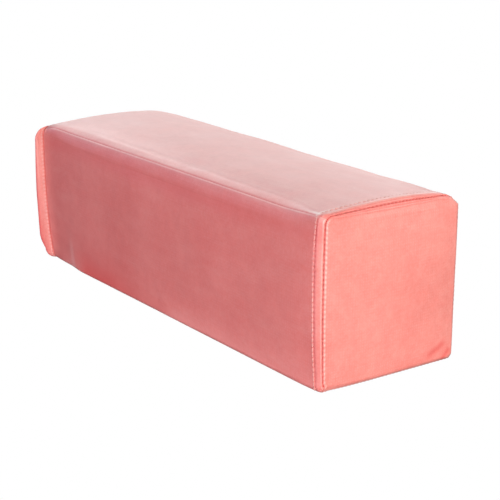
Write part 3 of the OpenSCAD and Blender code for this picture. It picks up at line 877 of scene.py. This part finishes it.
class Value:
    """Number socket of a material; sums and products of them add Math nodes."""

    def __init__(self, surface, socket):
        self.surface = surface
        self.socket = socket

    def math(self, operation, *others):
        sockets = dict(enumerate((self, *others)))
        return self.surface.add("ShaderNodeMath", {"operation": operation}, sockets)

    def __add__(self, other):
        return self.math("ADD", other)

    def __sub__(self, other):
        return self.math("SUBTRACT", other)

    def __mul__(self, other):
        return self.math("MULTIPLY", other)

    def __rsub__(self, other):
        return self.surface.add("ShaderNodeMath", {"operation": "SUBTRACT"}, {0: other, 1: self})

    __radd__ = __add__
    __rmul__ = __mul__

    def sin(self):
        return self.math("SINE")

    def clamped(self):
        settings = {"operation": "ADD", "use_clamp": True}
        return self.surface.add("ShaderNodeMath", settings, {0: self, 1: 0.0})


class Surface:
    """Material built from nodes."""

    def __init__(self, name):
        self.material = bpy.data.materials.new(name)
        self.material.use_nodes = True
        self.tree = self.material.node_tree
        self.tree.nodes.clear()

    def add(self, kind, settings=None, sockets=None, output=0):
        """Adds a node, sets its settings, then its sockets' values or links, and gives an output."""
        node = self.tree.nodes.new(kind)
        for name, value in (settings or {}).items():
            if name == "stops":
                self.set_stops(node.color_ramp, value)
            else:
                setattr(node, name, value)
        for name, value in (sockets or {}).items():
            socket = node.inputs[name]
            if isinstance(value, Value):
                self.tree.links.new(value.socket, socket)
            elif getattr(socket, "type", "") == "RGBA" and len(value) == 3:
                socket.default_value = (*value, 1)
            else:
                socket.default_value = value
        return Value(self, node.outputs[output]) if node.outputs else None

    def set_stops(self, ramp, stops):
        while len(ramp.elements) > 1:
            ramp.elements.remove(ramp.elements[0])
        for i, (place, value) in enumerate(stops):
            element = ramp.elements[0] if i == 0 else ramp.elements.new(place)
            element.position = place
            element.color = (value, value, value, 1)

    def place(self):
        return self.add("ShaderNodeTexCoord", output="Object")

    def axes(self):
        """x, y and z of the piece, as three numbers."""
        x = self.add("ShaderNodeSeparateXYZ", {}, {0: self.place()})
        return [Value(self, output) for output in x.socket.node.outputs]

    def noise(self, size, detail=2.0, rough=0.5, squash=(1, 1, 1)):
        """Cloudy noise whose blotches are about size across, and longer where squash is small."""
        place = self.add("ShaderNodeVectorMath", {"operation": "MULTIPLY"}, {0: self.place(), 1: squash})
        sockets = {"Vector": place, "Scale": 1 / size, "Detail": detail, "Roughness": rough}
        return self.add("ShaderNodeTexNoise", {}, sockets)

    def ramp(self, value, *stops):
        return self.add("ShaderNodeValToRGB", {"stops": stops}, {"Fac": value})

    def blend(self, factor, a, b):
        """Colour between a and b."""
        return self.add("ShaderNodeMix", {"data_type": "RGBA"}, {"Factor": factor, 6: a, 7: b}, 2)

    def bump(self, height, distance, strength=1.0):
        sockets = {"Height": height, "Distance": distance, "Strength": strength}
        return self.add("ShaderNodeBump", {}, sockets)

    def principled(self, sockets):
        shader = self.add("ShaderNodeBsdfPrincipled", {}, sockets)
        self.add("ShaderNodeOutputMaterial", {}, {"Surface": shader})
        return self.material


COVER_WEAVE, GRAIN_WEAVE, TAPE_WEAVE = 0.0024, 0.0011, 0.0006  # thread to thread, in metres


def deeper(colour, *shares):
    """Colour with each of its parts brought down, or up, to a share."""
    return tuple(c * k for c, k in zip(colour, shares * 3 if len(shares) == 1 else shares))


def paler(colour, share):
    return tuple(mix(c, 1.0, share) for c in colour)


def weave(surface, size):
    """Fine square weave, size from thread to thread, whichever way the cloth faces."""
    x, y, z = (axis * (2 * math.pi / size) for axis in surface.axes())
    x, y, z = x.sin(), y.sin(), z.sin()
    return (x * y + y * z + z * x) * 0.5


def vinyl_material(finish):
    s = Surface("cover_vinyl")
    blotches = s.ramp(s.noise(0.045, 3), (0.3, 0.0), (0.7, 1.0))
    mottle = s.ramp(s.noise(0.011, 4, 0.7), (0.32, 0.0), (0.68, 1.0))
    flecks = s.ramp(s.noise(0.0026, 3, 0.6), (0.32, 0.0), (0.68, 1.0))
    smears = s.ramp(s.noise(0.012, 3, 0.6, (0.25, 1, 1)), (0.45, 0.0), (0.75, 1.0))
    cross = weave(s, COVER_WEAVE)
    tone = s.blend(blotches, tuple(finish.vinyl), tuple(finish.vinyl_mottle_and_shade))
    tone = s.blend(0.38 * mottle, tone, deeper(finish.vinyl_mottle_and_shade, 0.84))
    worn = (flecks * 0.24 + cross * 0.09 + smears * 0.16).clamped()
    tone = s.blend(worn, tone, paler(finish.vinyl, 0.22))
    # the tone attribute paints light and shade: above 0 it pales the vinyl as a painted highlight, below 0
    # it deepens it as painted shade
    sewn = s.add("ShaderNodeAttribute", {"attribute_name": "tone"}, output="Fac")
    tone = s.blend(sewn.clamped(), tone, paler(finish.vinyl, 0.62))
    tone = s.blend((-1 * sewn).clamped(), tone, deeper(finish.vinyl_mottle_and_shade, 0.9, 0.44, 0.47))
    grain = weave(s, GRAIN_WEAVE) * 0.5 + s.noise(0.0012, 2) + cross * 0.8
    rough = 0.36 + 0.12 * s.noise(0.03, 3) + 0.05 * flecks
    return s.principled({
        "Base Color": tone, "Roughness": rough, "Normal": s.bump(grain, 0.00006, 0.6),
        "IOR": 1.5, "Sheen Weight": 0.08, "Sheen Roughness": 0.4,
        "Coat Weight": 0.4, "Coat Roughness": 0.28,
    })


def thread_material(finish):
    s = Surface("sewing_thread")
    x, y, z = s.axes()
    twist = ((x + y + z) * (2 * math.pi / 0.0005)).sin()
    tone = s.blend(s.noise(0.004), tuple(finish.thread), deeper(finish.thread, 0.85))
    return s.principled({
        "Base Color": tone, "Roughness": 0.5 + 0.1 * s.noise(0.002), "Normal": s.bump(twist, 0.00005, 0.6),
        "Sheen Weight": 0.3, "Sheen Roughness": 0.5,
    })


def tape_material(finish):
    s = Surface("woven_tape")
    x, _, z = s.axes()
    ribs = ((x + (z * (2 * math.pi / 0.004)).sin() * 0.0004) * (2 * math.pi / 0.0009)).sin()
    tone = s.blend(ribs * 0.25 + 0.5 * s.noise(0.006, 3), tuple(finish.tape), deeper(finish.tape, 0.75))
    return s.principled({
        "Base Color": tone, "Roughness": 0.72 + 0.15 * s.noise(0.003),
        "Normal": s.bump(ribs + weave(s, TAPE_WEAVE), 0.00008, 0.8),
        "Sheen Weight": 0.25, "Sheen Roughness": 0.5,
    })


def teeth_material(finish):
    s = Surface("moulded_teeth")
    tone = s.blend(s.noise(0.003), tuple(finish.teeth), deeper(finish.teeth, 1.25))
    return s.principled({
        "Base Color": tone, "Roughness": 0.26 + 0.18 * s.noise(0.0015, 3),
        "Normal": s.bump(s.noise(0.0008, 3), 0.00003, 0.5),
    })


def metal_material(finish):
    s = Surface("plated_metal")
    wear = s.ramp(s.noise(0.0025, 4), (0.4, 0.0), (0.62, 1.0))
    tone = s.blend(wear, tuple(finish.metal), deeper(finish.metal, 0.72))
    return s.principled({
        "Base Color": tone, "Metallic": 1.0, "Roughness": 0.38 + 0.14 * wear,
        "Normal": s.bump(s.noise(0.0004, 2), 0.00002, 0.5),
    })


def foam_material(finish):
    s = Surface("cut_foam")
    pores = s.add("ShaderNodeTexVoronoi", {}, {"Vector": s.place(), "Scale": 700.0}, "Distance")
    age = s.ramp(s.noise(0.05, 3), (0.35, 0.0), (0.75, 1.0))
    tone = s.blend(age, tuple(finish.foam), deeper(finish.foam, 0.96, 0.9, 0.78))
    # painted shade in the pores
    tone = s.blend(s.ramp(pores, (0.0, 0.5), (0.35, 0.0)), tone, deeper(finish.foam, 0.6))
    return s.principled({
        "Base Color": tone, "Roughness": 0.9 + 0.08 * s.noise(0.002), "Normal": s.bump(pores, 0.0006, 0.7),
        "Sheen Weight": 0.15,
    })


def floor_material(finish):
    s = Surface("studio_floor")
    glow = s.add("ShaderNodeEmission", {}, {"Color": tuple(finish.floor), "Strength": 1.0})
    s.add("ShaderNodeOutputMaterial", {}, {"Surface": glow})
    return s.material


def dress(piece, material, body="beam"):
    """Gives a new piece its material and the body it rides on."""
    piece.data.materials.clear()
    piece.data.materials.append(material)
    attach(piece, body)
    return piece


def material(name, make):
    return bpy.data.materials.get(name) or make(bpy.context.scene.beam_finish)


# ---------- Operators ----------

class BEAM_OT_form(bpy.types.Operator):
    """Works out the form of the stuffed cover"""
    bl_idname = "beam.form"
    bl_label = "Stuff the cover"
    cover = None

    def execute(self, context):
        cover = Cover(context.scene)
        stuff(cover.form)
        BEAM_OT_form.cover = cover
        return {"FINISHED"}


def sew(cloth, shape, node):
    """Finishes a panel and lets it stand for its solid."""
    piece = BEAM_OT_form.cover.finish(cloth, shape)
    dress(piece, material("cover_vinyl", vinyl_material), "beam")
    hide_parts(node)
    return piece


class BEAM_OT_long_panels(bpy.types.Operator):
    """Sews the front, top, back and base panels"""
    bl_idname = "beam.long_panels"
    bl_label = "Long panels"

    def execute(self, context):
        cover = BEAM_OT_form.cover
        form = cover.form
        zip_v = float(form.v_at(form.reach(7) - (ZIP_Z - form.s.base_r)))
        front = cover.long_panel("front_cover", form.base_seam, form.front_top)
        sew(front, cover.long_detail(0.8, 0.4, painted_front_light=1.0), "front_panel")
        top = cover.long_panel("top_cover", form.front_top, form.back_top)
        sew(top, cover.long_detail(0.1, 0.35, corner=1.0, first_edge_shade=1.0), "top_panel")
        back = cover.long_panel("back_cover", form.back_top, zip_v, zip_last=True)
        sew(back, cover.long_detail(1.3, 0.5, zip_last=True), "back_panel")
        base = cover.long_panel("base_cover", zip_v, form.base_seam + 8, zip_first=True)
        sew(base, cover.long_detail(0.5, 0.6, zip_first=True), "base_panel")
        return {"FINISHED"}


class BEAM_OT_end_panels(bpy.types.Operator):
    """Sews the two end panels"""
    bl_idname = "beam.end_panels"
    bl_label = "End panels"

    def execute(self, context):
        cover = BEAM_OT_form.cover
        form = cover.form
        left = cover.end_panel("left_cover", form.left, "left_face", -form.s.left_crown, True)
        sew(left, cover.end_detail(1.0, 0.9, falloff_shade=1.1), "left_end_panel")
        right = cover.end_panel("right_cover", form.right, "right_face", form.s.right_crown, False)
        folds = [
            ((41 * MM, 9 * MM), (60 * MM, 18 * MM), 3 * MM, 0.12 * MM),
            ((59 * MM, 2 * MM), (66 * MM, 11 * MM), 2.2 * MM, 0.06 * MM),
        ]
        sew(right, cover.end_detail(0.0, 1.0, folds), "right_end_panel")
        return {"FINISHED"}


def tube_faces(start, rows, sides):
    """Faces of a closed tube whose points start at start: rows rings of sides points."""
    faces = []
    for row in range(start, start + (rows - 1) * sides, sides):
        for j in range(sides):
            a, b = row + j, row + (j + 1) % sides
            faces.append((a, b, b + sides, a + sides))
    last = start + (rows - 1) * sides
    return faces + [tuple(range(start, start + sides))[::-1], tuple(range(last, last + sides))]


def stitch_mesh(name, lines, radius):
    """One mesh of short threads, each a tube along its own few points."""
    sides = 8
    around = np.linspace(0, 2 * math.pi, sides, endpoint=False)
    points, faces = [], []
    for line, normal in lines:
        line = np.array(line)
        ways = np.gradient(line, axis=0)
        start = len(points)
        for i, (centre, way) in enumerate(zip(line, ways)):
            way = way / np.linalg.norm(way)
            up = normal - way * (normal @ way)
            up /= np.linalg.norm(up)
            out = np.cross(way, up)
            end = 0.55 if i in (0, len(line) - 1) else 1.0
            for a in around:
                points.append(centre + radius * end * (math.cos(a) * out + math.sin(a) * up))
        faces += tube_faces(start, len(line), sides)
    return smooth_mesh(name, points, faces)


THREAD_SHARE = 0.78  # share of a stitch that its thread covers
THREAD_SINK = 0.45 * MM  # how deep a thread's ends lie in their holes


def row_of_stitches(place, starts, step, lift):
    """Threads along a line on the surface: place(t) gives point and normal, and each thread lies
    lift above the surface and sinks at its ends."""
    lines = []
    for start in starts:
        at = start + step * (0.5 + THREAD_SHARE * np.linspace(-0.5, 0.5, 7))
        points, normals = place(at)
        arch = 1 - np.linspace(-1, 1, 7) ** 4
        heights = -THREAD_SINK + (lift + THREAD_SINK) * arch
        lines.append((points + normals * heights[:, None], normals[3]))
    return lines


def on_surface(function, p, v):
    """Points and outward normals of a form at p and v."""
    small = 1e-3
    points = function(p, v)
    along = function(p + small, v) - function(p - small, v)
    round_ = function(p, v + small) - function(p, v - small)
    normals = np.cross(along, round_)
    return points, normals / np.linalg.norm(normals, axis=-1, keepdims=True)


class BEAM_OT_stitches(bpy.types.Operator):
    """Sews the rows of thread"""
    bl_idname = "beam.stitches"
    bl_label = "Stitches"

    def execute(self, context):
        cover = BEAM_OT_form.cover
        form, seams = cover.form, cover.seams
        pitch = cover.pitch
        radius = seams.thread_r
        row_in = seams.topstitch_in + seams.thread_out

        def right_row(at):
            v = form.v_at(at % form.round)
            # the row keeps its distance from the seam whatever the edge's radius
            arcs = form.side(v) * form.wrap(v)
            flat = form.right_x - form.side(v) - form.seam_x(v)
            over = row_in - arcs
            p = np.where(over > 0, 1 - over / flat, 2 - row_in / arcs)
            return on_surface(form.long, p, v)

        starts = (np.arange(cover.stitches) + 0.5) * pitch
        rows = {"right_topstitch": row_of_stitches(right_row, starts, pitch, 0.02 * MM)}

        def hem_row(z):
            def place(at):
                v = np.full(len(at), form.v_at(form.reach(7) - (z - form.s.base_r)))
                p = (at - form.left_seam) / (form.right_x - form.s.side_r - form.left_seam)
                return on_surface(form.long, p, v)
            return place

        half = form.s.zip_gap / 2 + seams.hem_in
        count = int(form.s.zip_open / pitch) - 4
        hems = (np.arange(count) - count / 2 + 0.5).round() * pitch + 0.5 * pitch
        rows["hem_stitches"] = [
            line for z in (ZIP_Z + half, ZIP_Z - half)
            for line in row_of_stitches(hem_row(z), hems, pitch, 0.1 * MM)]
        for name, lines in rows.items():
            piece = put(stitch_mesh(name, lines, radius))
            dress(piece, material("sewing_thread", thread_material), "beam")
        return {"FINISHED"}


def tape_strips(name, y, thick, strips):
    """Soft-edged strips of tape lying across the zip's middle: each is its two ends along x and
    its half width."""
    around = np.linspace(0, 2 * math.pi, 24, endpoint=False)
    z = np.sign(np.cos(around)) * np.abs(np.cos(around)) ** 0.3
    out = np.sign(np.sin(around)) * np.abs(np.sin(around)) ** 0.6
    points, faces, rings = [], [], 9
    for first, last, half in strips:
        start = len(points)
        for share in np.linspace(0, 1, rings):
            narrow = 0.85 if share in (0, 1) else 1
            x = mix(first, last, share)
            points += [(x, y + thick / 2 * b * narrow, ZIP_Z + half * a * narrow) for a, b in zip(z, out)]
        faces += [face[::-1] for face in tube_faces(start, rings, len(around))]
    mesh = bpy.data.meshes.new(name)
    mesh.from_pydata([tuple(p) for p in points], [], faces)
    mesh.update()
    return mesh


TACKS, TACK_IN, TACK_STEP = 6, 1.4, 0.62  # threads of a bar of stitches, and their places in mm
TACK_R = 0.3 * MM


class BEAM_OT_zip(bpy.types.Operator):
    """Finishes the zip: tapes, teeth, stops, slider and pull, and the tapes' sewn ends"""
    bl_idname = "beam.zip"
    bl_label = "Zip"

    def execute(self, context):
        for name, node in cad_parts.items():
            if not name.startswith("zip_"):
                continue
            looks = {"tape": ("woven_tape", tape_material), "teeth": ("moulded_teeth", teeth_material)}
            look = looks.get(name.split("_")[1], ("plated_metal", metal_material))
            node.data.materials.clear()
            node.data.materials.append(material(*look))

        # beyond the stops the two tapes lie on a strip and are held by a bar of stitches
        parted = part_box("zip_top_stops")[1].z - ZIP_Z
        top_end, bottom_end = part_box("zip_top_stops")[1].x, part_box("zip_bottom_stop")[0].x
        tape_end = TAPE_HIGH.x - 0.5 * MM
        joins = tape_strips("zip_tape_joins", TAPE_LOW.y - 0.3 * MM, 0.5 * MM, [
            (top_end - 3 * MM, top_end + 1.4 * MM, 2.3 * MM),
            (top_end + 0.7 * MM, tape_end, 4.6 * MM),
            (bottom_end - 0.4 * MM, -tape_end, 2.6 * MM),
        ])
        dress(put(joins), material("woven_tape", tape_material), "beam")
        out = np.array([0, 1, 0])
        tacks = []
        for end, way, half in ((top_end, 1, parted - 1.2 * MM), (bottom_end, -1, 3 * MM)):
            for i in range(TACKS):
                x = end + way * (TACK_IN + TACK_STEP * i) * MM
                reach = np.linspace(-half, half, 9)
                y = TAPE_HIGH.y + 0.25 * MM - 0.5 * MM * (reach / half) ** 6
                tacks.append((np.stack([0 * reach + x, y, ZIP_Z + reach], axis=1), out))
        tack_mesh = stitch_mesh("zip_bar_tacks", tacks, TACK_R)
        dress(put(tack_mesh), material("sewing_thread", thread_material), "beam")
        return {"FINISHED"}


FOAM_STEPS = 40  # steps to a side of the foam's surface
FOAM_IN = 3.2 * MM  # distance from the cover in to the foam
FOAM_SHORT = 3 * MM  # how far the foam stops short of the left seam
FOAM_BEVEL = 14 * MM  # bevel of the foam's left end
INTO_FOAM = 0.6 * MM  # room under the slider's inner plate


class BEAM_OT_foam(bpy.types.Operator):
    """Cuts the foam boards that fill the cover"""
    bl_idname = "beam.foam"
    bl_label = "Foam boards"

    def execute(self, context):
        form = BEAM_OT_form.cover.form
        filling = coarse_cover(form, FOAM_STEPS)[0]
        points, faces, _ = filling.weld()
        whole = filling.mesh(points, faces)
        points = points - FOAM_IN * point_normals(whole)
        end = form.left_seam + FOAM_SHORT
        beyond = points[:, 0] < end
        points[beyond, 1] = np.clip(points[beyond, 1], -HALF_W + FOAM_BEVEL, HALF_W - FOAM_BEVEL)
        points[beyond, 2] = np.minimum(points[beyond, 2], HEIGHT - FOAM_BEVEL)
        points[:, 0] = np.maximum(points[:, 0], end)
        # room behind the zip for its tapes and for the slider's inner plate
        under_slider, under_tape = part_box("zip_slider")[0].y - INTO_FOAM, TAPE_LOW.y - 0.7 * MM
        from_zip = np.abs(points[:, 2] - ZIP_Z)
        from_zip = np.where(np.abs(points[:, 0]) < TAPE_HIGH.x + 5 * MM, from_zip, 1.0)
        free = HALF_W + 20 * MM
        room = np.interp(
            from_zip, [9 * MM, 13 * MM, 18 * MM, 24 * MM], [under_slider, under_tape, under_tape, free])
        points[:, 1] = np.minimum(points[:, 1], room)
        whole.vertices.foreach_set("co", points.reshape(-1))
        for name in ("core_board_lower", "core_board_middle", "core_board_upper"):
            low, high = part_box(name)
            board = bmesh.new()
            board.from_mesh(whole)
            for z, way in ((low.z, -1), (high.z, 1)):
                everything = board.verts[:] + board.edges[:] + board.faces[:]
                cut = bmesh.ops.bisect_plane(
                    board, geom=everything, plane_co=(0, 0, z), plane_no=(0, 0, way), clear_outer=True)
                rim = [g for g in cut["geom_cut"] if isinstance(g, bmesh.types.BMEdge)]
                if rim:
                    bmesh.ops.edgeloop_fill(board, edges=rim)
            mesh = bpy.data.meshes.new(name.replace("core", "foam"))
            board.to_mesh(mesh)
            board.free()
            piece = dress(put(mesh), material("cut_foam", foam_material), "beam")
            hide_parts(name)
        return {"FINISHED"}


BOX_SIZE, BOX_AWAY = 1.5, 2.2  # side of a soft light, and its distance from the beam
BOUNCE_W = 22 * MM  # width of the lit floor beside the beam's foot
FLOOR_HALF, FLOOR_DROP = 8.0, 0.2 * MM  # half the floor's side, and its gap under the beam
# name, turn and lift in degrees, power in watts and tint of each soft light
SOFTBOXES = (
    ("right_box", 0, 15, 11.0, (1, 0.92, 0.6)),
    ("right_back_box", 45, 25, 25.8, (1, 0.97, 0.88)),
    ("right_front_box", -30, 5, 47.4, (1, 0.99, 0.93)),
    ("front_glow", -90, -5, 17.5, (1, 0.78, 0.89)),
    ("left_front_box", -150, 20, 4.2, (0.84, 0.56, 1)),
    ("left_box", 180, 40, 19.4, (0.93, 1, 1)),
    ("left_back_box", 145, 25, 11.4, (0.88, 1, 1)),
    ("left_back_glow", 150, -15, 9.4, (1, 1, 1)),
    ("back_box", 110, 30, 15.2, (0.98, 1, 1)),
)


def softbox(name, turn, lift, power, tint):
    """Large soft light, turned round the beam from its right end and lifted, in degrees."""
    light = bpy.data.lights.new(name, "AREA")
    light.shape = "RECTANGLE"
    light.size = light.size_y = BOX_SIZE
    light.energy = power
    light.color = tint
    lamp = put(light)
    turn, lift = math.radians(turn), math.radians(lift)
    away = Vector((math.cos(lift) * math.cos(turn), math.cos(lift) * math.sin(turn), math.sin(lift)))
    lamp.location = Vector((0, 0, HEIGHT / 2)) + BOX_AWAY * away
    lamp.rotation_euler = away.to_track_quat("Z", "Y").to_euler()
    lamp.visible_camera = False
    return lamp


def floor_bounce(name, x, y, size, power, tint):
    """Light that the floor throws back up, from a rectangle of it round x, y."""
    lamp = softbox(name, 0, 0, power, tint)
    lamp.data.size, lamp.data.size_y = size
    lamp.location = (x, y, 0)
    lamp.rotation_euler = (math.pi, 0, 0)


class BEAM_OT_studio(bpy.types.Operator):
    """Sets up the floor, the light and the camera"""
    bl_idname = "beam.studio"
    bl_label = "Studio"

    def execute(self, context):
        stage = context.scene.beam_stage
        mesh = bpy.data.meshes.new("studio_floor")
        corners = [(FLOOR_HALF * x, FLOOR_HALF * y, 0) for x, y in ((-1, -1), (1, -1), (1, 1), (-1, 1))]
        mesh.from_pydata(corners, [], [(0, 1, 2, 3)])
        floor = put(mesh)
        floor.location.z = -FLOOR_DROP
        mesh.materials.append(floor_material(context.scene.beam_finish))
        floor.visible_diffuse = False
        floor.visible_glossy = False
        floor.visible_shadow = False

        world = bpy.data.worlds.new("studio")
        context.scene.world = world
        world.use_nodes = True
        backdrop = world.node_tree.nodes["Background"].inputs
        backdrop["Color"].default_value = (1, 1, 1, 1)
        backdrop["Strength"].default_value = 1.0
        world.cycles_visibility.diffuse = False
        world.cycles_visibility.glossy = False
        for light in SOFTBOXES:
            softbox(*light)

        half_l = PART_HIGH.x
        y = PART_LOW.y - BOUNCE_W / 2
        floor_bounce("left_bounce", -half_l / 2, y, (half_l, BOUNCE_W), 0.0035, (1, 0.35, 0.33))
        floor_bounce("right_bounce", half_l / 2, y, (half_l, BOUNCE_W), 0.006, (1, 0.92, 0.92))
        floor_bounce("end_bounce", half_l + BOUNCE_W / 2, 0, (BOUNCE_W, 2 * HALF_W), 0.004, (1, 0.5, 0.42))

        lens = bpy.data.cameras.new("camera")
        lens.lens = stage.lens
        lens.sensor_width = 36
        lens.clip_end = 50
        camera = put(lens)
        camera.location = stage.eye
        camera.rotation_euler = (math.pi / 2 - stage.dip, 0, stage.turn)
        context.scene.camera = camera
        context.scene.view_settings.view_transform = "Standard"
        return {"FINISHED"}


class BEAM_PT_panel(bpy.types.Panel):
    """Steps of the beam, in the order in which they run"""
    bl_idname = "BEAM_PT_panel"
    bl_label = "Foam balance beam"
    bl_space_type = "VIEW_3D"
    bl_region_type = "UI"
    bl_category = "Beam"

    def draw(self, context):
        for operator in OPERATORS:
            self.layout.operator(operator.bl_idname)
        for group in GROUPS:
            box = self.layout.box()
            sizes = getattr(context.scene, group)
            for name in sizes.bl_rna.properties.keys():
                if name not in ("rna_type", "name"):
                    box.prop(sizes, name)


OPERATORS = (
    BEAM_OT_form, BEAM_OT_long_panels, BEAM_OT_end_panels, BEAM_OT_stitches, BEAM_OT_zip,
    BEAM_OT_foam, BEAM_OT_studio,
)
GROUPS = {
    "beam_cover": CoverSizes, "beam_seams": SeamSizes, "beam_finish": Finish, "beam_stage": StageSizes,
}


def register():
    for kind in (*GROUPS.values(), *OPERATORS, BEAM_PT_panel):
        bpy.utils.register_class(kind)
    for name, kind in GROUPS.items():
        setattr(bpy.types.Scene, name, PointerProperty(type=kind))


def unregister():
    for name in GROUPS:
        delattr(bpy.types.Scene, name)
    for kind in (BEAM_PT_panel, *reversed(OPERATORS), *reversed(tuple(GROUPS.values()))):
        bpy.utils.unregister_class(kind)


def main():
    register()
    bpy.ops.beam.form()
    bpy.ops.beam.long_panels()
    bpy.ops.beam.end_panels()
    bpy.ops.beam.stitches()
    bpy.ops.beam.zip()
    bpy.ops.beam.foam()
    bpy.ops.beam.studio()


if __name__ == "__main__":
    main()
